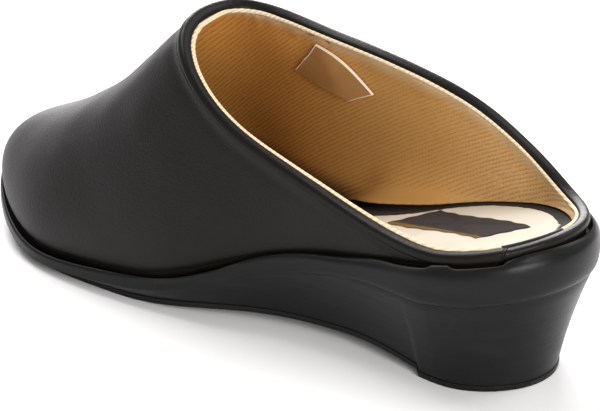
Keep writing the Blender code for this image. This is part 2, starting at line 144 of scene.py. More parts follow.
@dataclass
class Last:
    """The foot form that the pieces are laid against, and the sole line under it."""

    sole_length: float = 255.0
    ball_width: float = 92.0
    heel_height: float = 51.0
    throat_height: float = 95.5
    throat_along: float = 0.595
    arch_lift: float = 4.3
    toe_spring: float = 8.5
    flat_end: float = 0.80
    heel_tread_end: float = 0.180
    tread_step_run: float = 1.0
    wall: float = 2.6
    play: float = 0.35
    seat_depth: float = 3.2
    footbed_rise: float = 0.9
    footbed_dish: float = 1.2
    heel_ledge: float = 5.0
    toe_ledge: float = 5.5
    heel_round: float = 39.0
    toe_round: float = 55.0
    end_power: float = 2.1
    arch_power: float = 2.3
    bulge_rise: float = 12.0
    throat_corner: float = 22.0
    back_corner: float = 30.0
    side_stations: int = 210
    rise_samples: int = 110
    binding_join: float = 0.0455
    shift: Place = (0.09, -1.578, 0.0)
    plan: Rows = (
        (0.00, 0.327, 0.326), (0.12, 0.358, 0.344), (0.28, 0.325, 0.303), (0.42, 0.352, 0.288),
        (0.55, 0.450, 0.350), (0.66, 0.478, 0.440), (0.76, 0.468, 0.480), (0.88, 0.393, 0.480),
        (1.00, 0.318, 0.441),
    )
    feather: Rows = (
        (0.00, 1.000), (0.12, 0.896), (0.28, 0.720), (0.42, 0.525), (0.55, 0.272), (0.66, 0.182),
        (0.80, 0.146), (1.00, 0.388),
    )
    crest: Rows = (
        (0.00, 0.710), (0.30, 0.911), (0.40, 1.033), (0.50, 1.115), (0.60, 0.999), (0.70, 0.739),
        (0.80, 0.523), (0.90, 0.366), (1.00, 0.293),
    )
    topline: Rows = (
        (0.000, 0.073, 0.068), (0.100, 0.047, 0.098), (0.220, 0.123, 0.407), (0.340, 0.288, 0.632),
        (0.460, 0.554, 0.809), (0.555, 0.872, 0.970), (0.620, 1.068, 1.045),
    )
    arch: Rows = (
        (0.18, 0.50), (0.24, 0.92), (0.32, 1.0), (0.42, 0.97), (0.50, 0.58), (0.57, 0.16),
        (0.61, 0.0),
    )
    swell: Rows = (
        (0.00, 0.002), (0.12, 0.002), (0.28, 0.006), (0.42, 0.012), (0.50, 0.016), (0.58, 0.020),
        (0.72, 0.025), (0.88, 0.028), (1.00, 0.028),
    )

    def __post_init__(self) -> None:
        """Works out the curves, the feather line and the wall above it."""
        self.left_half = curve_of(self.plan, 1, self.ball_width)
        self.right_half = curve_of(self.plan, 2, self.ball_width)
        self.feather_height = curve_of(self.feather, 1, self.heel_height)
        rise = self.throat_height - float(self.feather_height(self.throat_along))
        self.crest_rise = curve_of(self.crest, 1, rise)
        self.left_rise = curve_of(self.topline, 1, rise)
        self.right_rise = curve_of(self.topline, 2, rise)
        self.arch_rise = curve_of(self.arch, 1, self.arch_lift)
        self.belly = curve_of(self.swell, 1, self.ball_width)
        self.heel_y = float(self.y_at(0)) - self.heel_ledge
        self.toe_y = float(self.y_at(1)) + self.toe_ledge
        self.loop = self.feather_loop()
        self.count = len(self.loop)
        self.out = self.outward(self.loop)
        self.share = self.along(self.loop[:, 1])
        self.turn = np.arange(self.count) / self.count
        self.rear_turn = (self.turn + 0.5) % 1 - 0.5
        self.left = np.arange(self.count) <= self.side_stations
        self.shell, self.normals, self.run = self.wall_grid()

    def along(self, y: Array) -> Array:
        """Share of the sole's length from the heel."""
        return 0.5 - np.asarray(y) / self.sole_length

    def y_at(self, share: Array) -> Array:
        """Place along the shoe of a share of its length."""
        return (0.5 - np.asarray(share)) * self.sole_length

    def middle(self, y: Array) -> Array:
        """Centre line of the feather line's plan."""
        return (self.left_half(self.along(y)) - self.right_half(self.along(y))) / 2

    def half_width(self, y: Array) -> Array:
        """Half width of the feather line's plan, before its ends round off."""
        return (self.left_half(self.along(y)) + self.right_half(self.along(y))) / 2

    def reach(self, x: Array, y: Array) -> Array:
        """How far out a place lies in plan: 0 on the centre line and 1 on the feather line.

        Args:
            x: places across the shoe.
            y: places along it.

        Returns:
            The share of the way out.
        """
        across = np.abs(x - self.middle(y)) / self.half_width(y)
        ahead = np.maximum(0, self.toe_y + self.toe_round - y) / self.toe_round
        behind = np.maximum(0, y - self.heel_y + self.heel_round) / self.heel_round
        end = np.where(y < 0, ahead, behind)
        return (across**self.end_power + end**self.end_power) ** (1 / self.end_power)

    def top_height(self, x: Array, y: Array) -> Array:
        """Height of the upper's outer face over a place in plan."""
        arch = np.sqrt(1 - np.clip(self.reach(x, y), 0, 1) ** self.arch_power)
        return self.feather_height(self.along(y)) + self.crest_rise(self.along(y)) * arch

    def cut_height(self, x: Array, y: Array) -> Array:
        """Height at which the collar is cut.

        Args:
            x: places across the shoe.
            y: places along it.

        Returns:
            The height over each place.
        """
        share = self.along(y)
        side = smooth_step(0.5 + 0.5 * (x - self.middle(y)) / self.half_width(y))
        climb = np.maximum(0, share - self.throat_along) * self.sole_length * 2
        rise = self.right_rise(share) + (self.left_rise(share) - self.right_rise(share)) * side
        return self.feather_height(share) + rise + climb

    def feather_loop(self) -> Array:
        """Plan points of the feather line, evenly spaced: heel, left side, toe, right side.

        Returns:
            The points, in rows of x and y.
        """
        turn = np.linspace(0, np.pi / 2, 300)
        power = 2 / self.end_power
        heel = self.heel_y - self.heel_round + self.heel_round * np.cos(turn) ** power
        toe = self.toe_y + self.toe_round - self.toe_round * np.sin(turn) ** power
        straight = np.linspace(heel[-1], toe[0], 300)[1:-1]
        y = np.concatenate([heel, straight, toe])
        ends = np.sin(turn) ** power, np.cos(turn) ** power
        share = np.concatenate([ends[0], np.ones(len(straight)), ends[1]])
        steps = np.hypot(np.diff(self.half_width(y) * share), np.diff(y))
        run = np.concatenate([[0], np.cumsum(steps)])
        even = np.linspace(0, run[-1], self.side_stations + 1)
        y, share = np.interp(even, run, y), np.interp(even, run, share)
        step_y = float(self.y_at(self.heel_tread_end))
        nearest = int(np.argmin(np.abs(y - step_y)))
        y[nearest], y[nearest + 1] = step_y, step_y - self.tread_step_run
        left = np.stack([self.middle(y) + self.half_width(y) * share, y], 1)
        right = np.stack([self.middle(y) - self.half_width(y) * share, y], 1)
        return np.concatenate([left, right[-2:0:-1]])

    def outward(self, points: Array) -> Array:
        """Unit plan normals of a closed outline that runs heel, left, toe, right."""
        way = unit(np.roll(points, -1, 0) - np.roll(points, 1, 0))
        return np.stack([-way[:, 1], way[:, 0]], 1)

    def collar(self) -> Array:
        """Plan points of the topline, straight in from each point of the feather line.

        Returns:
            The points, in rows of x and y.
        """
        throat_y = float(self.y_at(self.throat_along)) + self.throat_corner
        inner_y = np.clip(self.loop[:, 1], throat_y, self.heel_y - self.back_corner)
        inner = np.stack([self.middle(inner_y), inner_y], 1)
        ways = np.linspace(0, 1, 400)
        places = self.loop[:, None] + (inner - self.loop)[:, None] * ways[None, :, None]
        x, y = places[..., 0], places[..., 1]
        over = self.top_height(x, y) - self.cut_height(x, y)
        crossing = (over[:, :-1] < 0) & (over[:, 1:] >= 0)
        first = crossing.argmax(1)
        final = crossing.shape[1] - 1 - crossing[:, ::-1].argmax(1)
        at = np.where(self.loop[:, 1] < throat_y, final, first)
        row = np.arange(self.count)
        below, above = over[row, at], over[row, at + 1]
        part = (-below / (above - below))[:, None]
        return places[row, at] * (1 - part) + places[row, at + 1] * part

    def wall_grid(self) -> tuple[Array, Array, Array]:
        """The wall's outer face as a grid of rings.

        Returns:
            Points and outward normals, rings by columns, and each point's distance up the wall.
        """
        collar, feather = self.collar(), self.feather_height(self.share)
        rings = []
        for ease in np.linspace(0, 1, self.rise_samples):
            plan = self.loop + (collar - self.loop) * (1 - np.cos(ease * np.pi / 2))
            height = self.top_height(plan[:, 0], plan[:, 1])
            rise = (height - feather) / self.bulge_rise
            plan = plan + self.out * (self.belly(self.share) * rise * np.exp(1 - rise))[:, None]
            rings.append(np.column_stack([plan, height]))
        grid = np.array(rings)
        steps = np.linalg.norm(np.diff(grid, axis=0), axis=2)
        run = np.concatenate([np.zeros((1, self.count)), np.cumsum(steps, axis=0)])
        around = np.roll(grid, -1, 1) - np.roll(grid, 1, 1)
        return grid, unit(np.cross(np.gradient(grid, axis=0), around)), run

    def on_wall(self, rise: Array) -> tuple[Array, Array]:
        """Places on the wall's outer face.

        Args:
            rise: distance up the wall from the feather line, rings by columns.

        Returns:
            Points and outward normals of the same shape.
        """
        points, normals = np.empty((*rise.shape, 3)), np.empty((*rise.shape, 3))
        for j in range(self.count):
            for k in range(3):
                points[:, j, k] = np.interp(rise[:, j], self.run[:, j], self.shell[:, j, k])
                normals[:, j, k] = np.interp(rise[:, j], self.run[:, j], self.normals[:, j, k])
        return points, unit(normals)

    def up_wall(self) -> Array:
        """Unit vectors up the wall at the topline."""
        ends, _ = self.on_wall(self.run[-1:] - np.array([[0.0], [4.2]]))
        return unit(ends[0] - ends[1])

    def centre_line(self, y: Array) -> Array:
        """Nearest place of the inner centre line, which stops short of both ends."""
        inner = np.clip(y, self.toe_y + self.toe_round, self.heel_y - self.heel_round)
        return np.stack([self.middle(inner), inner], -1)

    def plan_ring(self, out: Union[float, Array], scale: float = 1.0) -> Array:
        """Plan ring so far outside the feather line, drawn in to the centre line by the scale.

        Args:
            out: distance outside, for all columns or each.
            scale: share of the way out from the centre line.

        Returns:
            The points, in rows of x and y.
        """
        plan = self.loop + self.out * np.broadcast_to(out, self.count)[:, None]
        inner = self.centre_line(plan[:, 1])
        return inner + (plan - inner) * scale

    def seat(self, share: Array) -> Array:
        """Height of the sole's seat, which carries the upper and the footbed."""
        return self.feather_height(share) - self.seat_depth

    def underside(self, share: Array) -> Array:
        """Height of the sole's bottom: two treads on the floor, the arch and the toe spring.

        Args:
            share: share of the length from the heel.

        Returns:
            The height at each share.
        """
        arch = np.where(share > self.heel_tread_end + 1e-6, self.arch_rise(share), 0)
        spring = np.maximum(0, share - self.flat_end) / (1 - self.flat_end)
        return arch + self.toe_spring * spring**2

    def footbed_top(self, x: Array, y: Array) -> Array:
        """Height of the footbed's upper face, dished towards the middle of the heel."""
        hollow = (1 - np.clip(self.reach(x, y), 0, 1) ** 2) * smooth_step(1.6 - 2.4 * self.along(y))
        return self.feather_height(self.along(y)) + self.footbed_rise - self.footbed_dish * hollow

    def on_footbed(self, plan: Array, lift: float = 0.0) -> Array:
        """Plan points set on the footbed's upper face, raised by the lift."""
        return np.column_stack([plan, self.footbed_top(plan[:, 0], plan[:, 1]) + lift])

    def on_seat(self, plan: Array) -> Array:
        """Plan points set just clear of the sole's seat."""
        return np.column_stack([plan, self.seat(self.along(plan[:, 1])) + self.play])

    def loop_length(self, ring: Array) -> Array:
        """Distance round a closed ring at each point and at its return to the first."""
        steps = np.linalg.norm(np.roll(ring, -1, 0) - ring, axis=1)
        return np.concatenate([[0], np.cumsum(steps)])

    def run_at(self, turn: float, around: Array) -> float:
        """Run round a ring at a share of the way round."""
        return float(np.interp(turn, self.turn, around[:-1]))


def map_run(mesh: Mesh, u: Array, v: Array) -> None:
    """Writes each corner's run round and across, in millimetres, as the UV map named run."""
    layer = mesh.uv_layers.new(name="run")
    layer.data.foreach_set("uv", np.stack([u, v], 1).astype(np.float32).ravel())


def vertex_of_corners(mesh: Mesh) -> Array:
    """The vertex of each face corner."""
    corner = np.empty(len(mesh.loops), np.int32)
    mesh.loops.foreach_get("vertex_index", corner)
    return corner


def add_piece(mesh: Mesh, finish: Finish, sharp: float) -> Piece:
    """Dresses a mesh and hangs it in the scene, on the shoe's body.

    Args:
        mesh: the shape, under the piece's name.
        finish: material of the whole piece.
        sharp: angle in degrees over which an edge stays sharp, with 180 for none.

    Returns:
        The new object.
    """
    mesh.materials.append(finish)
    mesh.shade_smooth()
    if sharp < 180:
        mesh.set_sharp_from_angle(angle=np.radians(sharp))
    mesh.validate()
    piece = bpy.data.objects.new(mesh.name, mesh)
    bpy.context.scene.collection.objects.link(piece)
    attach(piece, BODY)
    log.info("%s: %d faces", mesh.name, len(mesh.polygons))
    return piece


class Ends(Enum):
    """How a stack of rings is closed."""

    OPEN = "open"
    LOOP = "loop"
    CAPS = "caps"


@dataclass
class Skin:
    """A mesh made of rings of points, with its run along and across kept as a UV map."""

    name: str
    rings: Array
    ends: Ends
    shift: Place
    around: Optional[Array] = None
    across: Optional[Array] = None
    sharp_degrees: float = 180.0

    def faces(self) -> list[tuple[int, ...]]:
        """Quads between neighbouring rings, and the strips of both caps.

        Returns:
            The vertices of each face.
        """
        rows, count = self.rings.shape[:2]
        pairs = [(i, i + 1) for i in range(rows - 1)]
        if self.ends is Ends.LOOP:
            pairs.append((rows - 1, 0))
        made = []
        for low, high in pairs:
            for j in range(count):
                k = (j + 1) % count
                one, other = low * count, high * count
                made.append((one + j, one + k, other + k, other + j))
        if self.ends is Ends.CAPS:
            for row in (0, rows - 1):
                for j in range(count // 2):
                    corners = [j, j + 1, (count - j - 1) % count, (count - j) % count]
                    unique = list(dict.fromkeys(row * count + corner for corner in corners))
                    made.append(tuple(unique if row else unique[::-1]))
        return made

    def build(self, finish: Finish) -> Piece:
        """Writes the mesh in metres and links its object.

        Args:
            finish: material of the whole skin.

        Returns:
            The object, which rides on the shoe's body.
        """
        mesh = bpy.data.meshes.new(self.name)
        points = (self.rings.reshape(-1, 3) + np.array(self.shift)) * MM
        mesh.from_pydata(points.tolist(), [], self.faces())
        if self.around is not None:
            self.write_run(mesh)
        return add_piece(mesh, finish, self.sharp_degrees)

    def write_run(self, mesh: Mesh) -> None:
        """Maps the run round and across the rings, whole also where a ring closes.

        Args:
            mesh: the skin's own mesh.
        """
        rows, count = self.rings.shape[:2]
        corner = vertex_of_corners(mesh)
        column, row = corner % count, corner // count
        u = np.asarray(self.around)[column]
        polygons = np.empty(len(mesh.polygons), np.int32)
        mesh.polygons.foreach_get("loop_total", polygons)
        face = np.repeat(np.arange(len(polygons)), polygons)
        most = np.zeros(len(polygons), np.int64)
        np.maximum.at(most, face, column)
        wraps = (column == 0) & (most[face] == count - 1)
        u = np.where(wraps, np.asarray(self.around)[-1], u)
        map_run(mesh, u, np.broadcast_to(self.across, (rows, count))[row, column])


Number = Union[float, "Signal"]


class Signal:
    """A shader socket that takes part in Python arithmetic."""

    def __init__(self, shader: Shader, socket: bpy.types.NodeSocket) -> None:
        """Keeps the socket and the shader that new nodes go into."""
        self.shader, self.socket = shader, socket

    def maths(self, operation: str, *values: Number, clamp: bool = False) -> Signal:
        """The outcome of a Math node on the values."""
        settings = {"operation": operation, "use_clamp": clamp}
        return self.shader.node("ShaderNodeMath", settings, dict(enumerate(values)))

    def __add__(self, other: Number) -> Signal:
        """This plus the other."""
        return self.maths("ADD", self, other)

    def __sub__(self, other: Number) -> Signal:
        """This less the other."""
        return self.maths("SUBTRACT", self, other)

    def __mul__(self, other: Number) -> Signal:
        """This times the other."""
        return self.maths("MULTIPLY", self, other)

    def __truediv__(self, other: Number) -> Signal:
        """This over the other."""
        return self.maths("DIVIDE", self, other)

    def __pow__(self, other: Number) -> Signal:
        """This to the power of the other."""
        return self.maths("POWER", self, other)

    def __rsub__(self, other: Number) -> Signal:
        """The other less this."""
        return self.maths("SUBTRACT", other, self)

    def __rtruediv__(self, other: Number) -> Signal:
        """The other over this."""
        return self.maths("DIVIDE", other, self)

    __radd__ = __add__
    __rmul__ = __mul__

    def sine(self) -> Signal:
        """Sine of this, in radians."""
        return self.maths("SINE", self)

    def size(self) -> Signal:
        """This without its sign."""
        return self.maths("ABSOLUTE", self)

    def clamped(self) -> Signal:
        """This kept from 0 to 1."""
        return self.maths("ADD", self, 0.0, clamp=True)

    def floor(self) -> Signal:
        """This rounded down."""
        return self.maths("FLOOR", self)

    def ramp(self, low: float, high: float) -> Signal:
        """Rises softly from 0 at low to 1 at high, which may be the lesser.

        Args:
            low: where it is 0.
            high: where it is 1.

        Returns:
            The risen share.
        """
        rises = low < high
        ends = {1: low, 2: high, 3: 0.0, 4: 1.0} if rises else {1: high, 2: low, 3: 1.0, 4: 0.0}
        settings = {"interpolation_type": "SMOOTHSTEP"}
        return self.shader.node("ShaderNodeMapRange", settings, {0: self, **ends})


class Shader:
    """One material's nodes."""

    def __init__(self, name: str) -> None:
        """Makes the material with its Principled shader."""
        self.material = bpy.data.materials.new(name)
        self.material.use_nodes = True
        self.nodes = self.material.node_tree.nodes
        self.links = self.material.node_tree.links
        self.surface = self.nodes["Principled BSDF"]

    def node(
        self,
        kind: str,
        settings: Optional[dict] = None,
        inputs: Optional[dict] = None,
        output: Union[int, str] = 0,
    ) -> Signal:
        """Adds one node.

        Args:
            kind: the node's type.
            settings: its properties, set first.
            inputs: value or signal of its sockets, by name or place.
            output: which of its outputs to give back.

        Returns:
            The chosen output.
        """
        made = self.nodes.new(kind)
        for name, value in (settings or {}).items():
            setattr(made, name, value)
        for name, value in (inputs or {}).items():
            self.feed(made.inputs[name], value)
        return Signal(self, made.outputs[output])

    def feed(self, socket: bpy.types.NodeSocket, value: object) -> None:
        """Links a signal to a socket, or sets the socket's own value.

        Args:
            socket: what is fed.
            value: a signal, a number or a colour.
        """
        if isinstance(value, Signal):
            self.links.new(value.socket, socket)
        elif isinstance(value, tuple) and len(value) == 3 and socket.type == "RGBA":
            socket.default_value = (*value, 1.0)
        else:
            socket.default_value = value

    def finish(self, **inputs: object) -> Finish:
        """Feeds the Principled shader, whose socket names are written with underscores.

        Args:
            inputs: value or signal of each socket.

        Returns:
            The material.
        """
        for name, value in inputs.items():
            self.feed(self.surface.inputs[name.replace("_", " ")], value)
        return self.material

    def place(self) -> Signal:
        """Place on the object, in millimetres."""
        raw = self.node("ShaderNodeTexCoord", output="Object")
        return self.node("ShaderNodeVectorMath", {"operation": "SCALE"}, {0: raw, 3: 1 / MM})

    def run(self) -> tuple[Signal, Signal]:
        """Run round and across the piece, in millimetres, from its UV map."""
        raw = self.node("ShaderNodeUVMap", {"uv_map": "run"})
        return self.part(raw, "X"), self.part(raw, "Y")

    def part(self, vector: Signal, axis: str) -> Signal:
        """One coordinate of a vector."""
        return self.node("ShaderNodeSeparateXYZ", inputs={0: vector}, output=axis)

    def join(self, x: Number, y: Number, z: Number = 0.0) -> Signal:
        """A vector of three numbers."""
        return self.node("ShaderNodeCombineXYZ", inputs={0: x, 1: y, 2: z})

    def stretched(self, vector: Signal, by: Place) -> Signal:
        """A vector with each coordinate times its own number."""
        return self.node("ShaderNodeVectorMath", {"operation": "MULTIPLY"}, {0: vector, 1: by})

    def noise(self, place: Signal, scale: float, detail: float = 2.0, rough: float = 0.5) -> Signal:
        """Soft noise about 0.5, as many waves to a millimetre as the scale."""
        inputs = {"Vector": place, "Scale": scale, "Detail": detail, "Roughness": rough}
        return self.node("ShaderNodeTexNoise", {"noise_dimensions": "3D"}, inputs)

    def cells(self, place: Signal, scale: float, feature: str = "F1") -> Signal:
        """Distance within random cells, as many to a millimetre as the scale."""
        inputs = {"Vector": place, "Scale": scale}
        return self.node("ShaderNodeTexVoronoi", {"feature": feature}, inputs)

    def mix(self, share: Number, one: object, other: object) -> Signal:
        """A colour between two."""
        settings = {"data_type": "RGBA", "clamp_factor": True}
        return self.node("ShaderNodeMix", settings, {0: share, 6: one, 7: other}, output=2)

    def bump(self, height: Signal, depth: float) -> Signal:
        """Normal of a surface that is raised by a height in millimetres times the depth."""
        inputs = {"Height": height * (depth * MM), "Distance": 1.0, "Strength": 1.0}
        return self.node("ShaderNodeBump", inputs=inputs)


@dataclass(frozen=True)
class UpperLeather:
    """Smooth black leather with a fine pebble and a soft sheen."""

    name: str = "upper_leather"
    colour: Colour = (0.0056, 0.0050, 0.0042)
    worn: Colour = (0.0090, 0.0080, 0.0070)
    roughness: float = 0.46
    shine: float = 0.18
    pebble: float = 1.5
    pebble_depth: float = 0.16

    def material(self) -> Finish:
        """The leather's nodes.

        Returns:
            The material.
        """
        shader = Shader(self.name)
        place = shader.place()
        pebble = shader.cells(place, self.pebble, "SMOOTH_F1")
        pores = shader.noise(place, 2.6, 3.0, 0.6)
        drift = shader.noise(place, 0.035, 3.0)
        height = pebble * 0.6 + pores * 0.55
        return shader.finish(
            Base_Color=shader.mix(drift.ramp(0.35, 0.75), self.colour, self.worn),
            Roughness=drift * 0.10 + pores * 0.10 + (self.roughness - 0.10),
            Normal=shader.bump(height, self.pebble_depth),
            Specular_IOR_Level=self.shine,
        )


@dataclass(frozen=True)
class BindingLeather:
    """Thin black leather turned over the collar's padding, with fine wrinkles across it."""

    name: str = "binding_leather"
    # The brown tint in this black is a painted reflection of the tan lining.
    colour: Colour = (0.0068, 0.0056, 0.0045)
    roughness: float = 0.38
    shine: float = 0.13
    seam_dark: Colour = (0.004, 0.004, 0.004)
    join_at: float = 20.0
    join_wide: float = 0.42
    join_lean: float = 0.35

    def material(self) -> Finish:
        """The binding's nodes.

        Returns:
            The material.
        """
        shader = Shader(self.name)
        place = shader.place()
        run, across = shader.run()
        wrinkle = shader.noise(shader.join(run * 0.9, across * 0.18), 1.0, 2.0)
        pores = shader.noise(place, 2.6, 3.0, 0.6)
        aside = (run + across * self.join_lean - self.join_at).size()
        join = aside.ramp(self.join_wide * 1.8, self.join_wide * 0.4)
        height = wrinkle * 0.12 + pores * 0.04 - join * 0.35
        return shader.finish(
            Base_Color=shader.mix(join, self.colour, self.seam_dark),
            Roughness=pores * 0.14 + (self.roughness - 0.07),
            Normal=shader.bump(height, 1.0),
            Specular_IOR_Level=self.shine,
        )


@dataclass(frozen=True)
class SoleRubber:
    """Moulded black rubber, satin, with faint flow marks that are lighter in places."""

    name: str = "sole_rubber"
    colour: Colour = (0.0060, 0.0058, 0.0060)
    rubbed: Colour = (0.0110, 0.0106, 0.0110)
    roughness: float = 0.33
    shine: float = 0.16
    bar_pitch: float = 6.0
    bar_wave: float = 1.6
    bar_top: float = 1.6

    def material(self) -> Finish:
        """The rubber's nodes.

        Returns:
            The material.
        """
        shader = Shader(self.name)
        place = shader.place()
        fine = shader.noise(place, 1.4, 3.0, 0.6)
        flow = shader.noise(shader.stretched(place, (0.05, 0.02, 0.16)), 1.0, 3.0)
        specks = shader.cells(place, 0.22).ramp(0.10, 0.02)
        x, y, z = (shader.part(place, axis) for axis in "XYZ")
        wavy = y + (x * 0.20).sine() * self.bar_wave
        bars = ((wavy * (2 * np.pi / self.bar_pitch)).sine() * 3.0).clamped()
        tread = z.ramp(self.bar_top, 0.4) * bars
        return shader.finish(
            Base_Color=shader.mix(flow.ramp(0.45, 0.85), self.colour, self.rubbed),
            Roughness=fine * 0.10 + flow * 0.22 + (self.roughness - 0.14),
            Normal=shader.bump(fine * 0.035 + flow * 0.25 + specks * 0.06 - tread * 0.6, 1.0),
            Specular_IOR_Level=self.shine,
        )


@dataclass(frozen=True)
class RibbedKnit:
    """Tan ribbed knit whose ribs climb towards the heel, pale where it folds at the topline; its
    shade, shadow and bounce light inside are painted.
    """

    name: str = "ribbed_knit"
    tan: Colour = (0.55, 0.305, 0.108)
    fawn: Colour = (0.72, 0.465, 0.215)
    # Brown: colour of the rib grooves, painted shade in the recesses.
    brown: Colour = (0.340, 0.155, 0.040)
    # Amber: painted shade, darker than the tan, laid on the knit ahead of the lit heel.
    shaded_amber: Colour = (0.47, 0.240, 0.062)
    # Deep: painted bounce light, a brighter and more saturated orange towards the toe and the
    # throat.
    deep: Colour = (0.72, 0.325, 0.068)
    # Umber: the rib grooves towards the toe, a deeper painted shade than the brown.
    umber: Colour = (0.330, 0.120, 0.020)
    # Near-black colour of the painted shadow low on the wall.
    painted_shadow: Colour = (0.016, 0.009, 0.004)
    pale: Colour = (0.84, 0.70, 0.50)
    bare: Colour = (0.010, 0.009, 0.0085)
    pitch: float = 1.6
    stitch_long: float = 1.5
    climb: float = 0.72
    ease: float = 0.0015
    hem: float = 1.25
    bare_from: float = 0.0
    bare_to: float = 0.0

    def material(self) -> Finish:
        """The knit's nodes.

        Returns:
            The material.
        """
        shader = Shader(self.name)
        place = shader.place()
        x, y, z = (shader.part(place, axis) for axis in "XYZ")
        run, below = shader.run()
        upright = shader.part(shader.node("ShaderNodeTexCoord", output="Normal"), "Z")
        wobble = shader.noise(place, 0.10, 2.0) * 1.0 + shader.noise(place, 0.8, 2.0) * 0.35
        level = z - y * self.climb + y * y * self.ease + x * 0.10 + wobble
        row = (level / self.pitch).floor()
        rib = (level * (2 * np.pi / self.pitch)).sine() * 0.5 + 0.5
        along = (y * 0.9 + z * 0.6) * (2 * np.pi / self.stitch_long)
        stitch = (along + row * 2.4).sine() * 0.5 + 0.5
        blotch = shader.noise(shader.stretched(place, (0.5, 0.5, 0.5)), 1.0, 3.0)
        fluff = shader.noise(place, 3.2, 4.0, 0.65)
        # The rib grooves are darkened in colour, broken into stitches and fainter near the topline:
        # painted shade in the recesses.
        groove = (1.0 - rib) ** 3.0
        # Painted light along the shoe: the first ramp darkens the knit ahead of the lit heel
        # (painted shade), the second turns it a brighter orange towards the toe (painted bounce
        # light).
        off_heel_shade, inner = y.ramp(85.0, 42.0), y.ramp(35.0, -25.0)
        ribbed = upright.ramp(0.80, 0.45) * upright.ramp(-0.93, -0.72)
        edge = (below + (blotch - 0.5) * 0.8).ramp(self.hem, self.hem * 0.35)
        near = below.ramp(8.0, 0.5)
        dark = groove * (stitch * 0.6 + 0.3) * blotch.ramp(0.18, 0.60)
        dark = dark * ribbed * (1.0 - near * 0.55)
        face = shader.mix(fluff.ramp(0.35, 0.70), self.tan, self.fawn)
        face = shader.mix(off_heel_shade * 0.85, face, self.shaded_amber)
        face = shader.mix(inner * 0.85, face, self.deep)
        line = shader.mix(inner, self.brown, self.umber)
        cloth = shader.mix(dark, face, line)
        cloth = shader.mix(near * (inner * 0.25 + 0.40), cloth, self.pale)
        # Painted shadow cast by the near wall and the vamp on the lower wall ahead of the heel:
        # near black, its edge ragged along the ribs.
        shade = (z + blotch * 2.5 + rib).ramp(36.0, 26.5) * y.ramp(40.0, 10.0)
        cloth = shader.mix(shade * 0.94, cloth, self.painted_shadow)
        # On the pale fold the rib grooves turn tan: painted shade in the recesses.
        fold = shader.mix(groove * 0.5, self.pale, self.tan)
        bare = run.ramp(self.bare_from, self.bare_from + 0.5)
        bare = bare * run.ramp(self.bare_to, self.bare_to - 0.5)
        colour = shader.mix(bare, shader.mix(edge, cloth, fold), self.bare)
        weave = (rib * 0.10 + stitch * rib * 0.05) * ribbed + fluff * 0.10
        height = (weave * (1.0 - edge) + (rib * 0.42 + fluff * 0.14) * edge) * (1.0 - bare)
        return shader.finish(
            Base_Color=colour,
            Roughness=0.90 - bare * 0.4,
            Normal=shader.bump(height, 1.0),
            Specular_IOR_Level=0.2,
        )


@dataclass(frozen=True)
class FootbedBoard:
    """Matte black cloth-faced board."""

    name: str = "footbed_board"
    colour: Colour = (0.018, 0.016, 0.015)
    nap: Colour = (0.045, 0.038, 0.032)

    def material(self) -> Finish:
        """The board's nodes.

        Returns:
            The material.
        """
        shader = Shader(self.name)
        place = shader.place()
        nap = shader.noise(place, 2.0, 4.0, 0.7)
        return shader.finish(
            Base_Color=shader.mix(nap.ramp(0.5, 0.75), self.colour, self.nap),
            Roughness=nap * 0.2 + 0.6,
            Normal=shader.bump(nap, 0.16),
        )


@dataclass(frozen=True)
class SockFelt:
    """Cream napped sock lining, a little soiled in patches."""

    name: str = "sock_felt"
    cream: Colour = (0.70, 0.64, 0.53)
    soiled: Colour = (0.57, 0.505, 0.405)

    def material(self) -> Finish:
        """The felt's nodes.

        Returns:
            The material.
        """
        shader = Shader(self.name)
        place = shader.place()
        nap, patchy = shader.noise(place, 1.6, 4.0, 0.7), shader.noise(place, 0.08, 3.0)
        share = patchy.ramp(0.45, 0.80) * 0.6 + nap.ramp(0.55, 0.85) * 0.3
        return shader.finish(
            Base_Color=shader.mix(share, self.cream, self.soiled),
            Roughness=nap * 0.1 + 0.85,
            Normal=shader.bump(nap + patchy * 2.0, 0.12),
            Specular_IOR_Level=0.2,
        )


@dataclass(frozen=True)
class WovenPatch:
    """Plain dark woven cloth with an ochre edge along one long side."""

    name: str = "woven_patch"
    warp: Colour = (0.011, 0.008, 0.009)
    weft: Colour = (0.029, 0.023, 0.024)
    ochre: Colour = (0.24, 0.125, 0.022)
    thread: float = 0.55
    half_wide: float = 8.9

    def material(self) -> Finish:
        """The cloth's nodes.

        Returns:
            The material.
        """
        shader = Shader(self.name)
        place = shader.place()
        long, wide = shader.run()
        turns = 2 * np.pi / self.thread
        weave = (long * turns).sine() * (wide * turns).sine() * 0.5 + 0.5
        fuzz = shader.noise(place, 1.8, 3.0)
        edge = (wide + (fuzz - 0.5) * 0.9).ramp(-0.76 * self.half_wide, -0.92 * self.half_wide)
        cloth = shader.mix(weave * 0.7 + fuzz * 0.3, self.warp, self.weft)
        return shader.finish(
            Base_Color=shader.mix(edge * 0.85, cloth, self.ochre),
            Roughness=0.75,
            Normal=shader.bump(weave + fuzz * 0.6, 0.10),
        )


@dataclass(frozen=True)
class TabLeather:
    """Smooth tan leather with a pale cut edge."""

    name: str = "tab_leather"
    tan: Colour = (0.48, 0.250, 0.088)
    deep: Colour = (0.37, 0.175, 0.055)
    cut: Colour = (0.90, 0.76, 0.60)
    rim: float = 0.42

    def material(self) -> Finish:
        """The leather's nodes.

        Returns:
            The material.
        """
        shader = Shader(self.name)
        place = shader.place()
        _, inside = shader.run()
        soft, grain = shader.noise(place, 0.06, 2.0), shader.noise(place, 2.4, 3.0, 0.6)
        rim = inside.ramp(self.rim, self.rim * 0.6)
        body = shader.mix(soft.ramp(0.3, 0.7), self.tan, self.deep)
        return shader.finish(
            Base_Color=shader.mix(rim, body, self.cut),
            Roughness=grain * 0.12 + 0.42,
            Normal=shader.bump(grain, 0.05),
        )


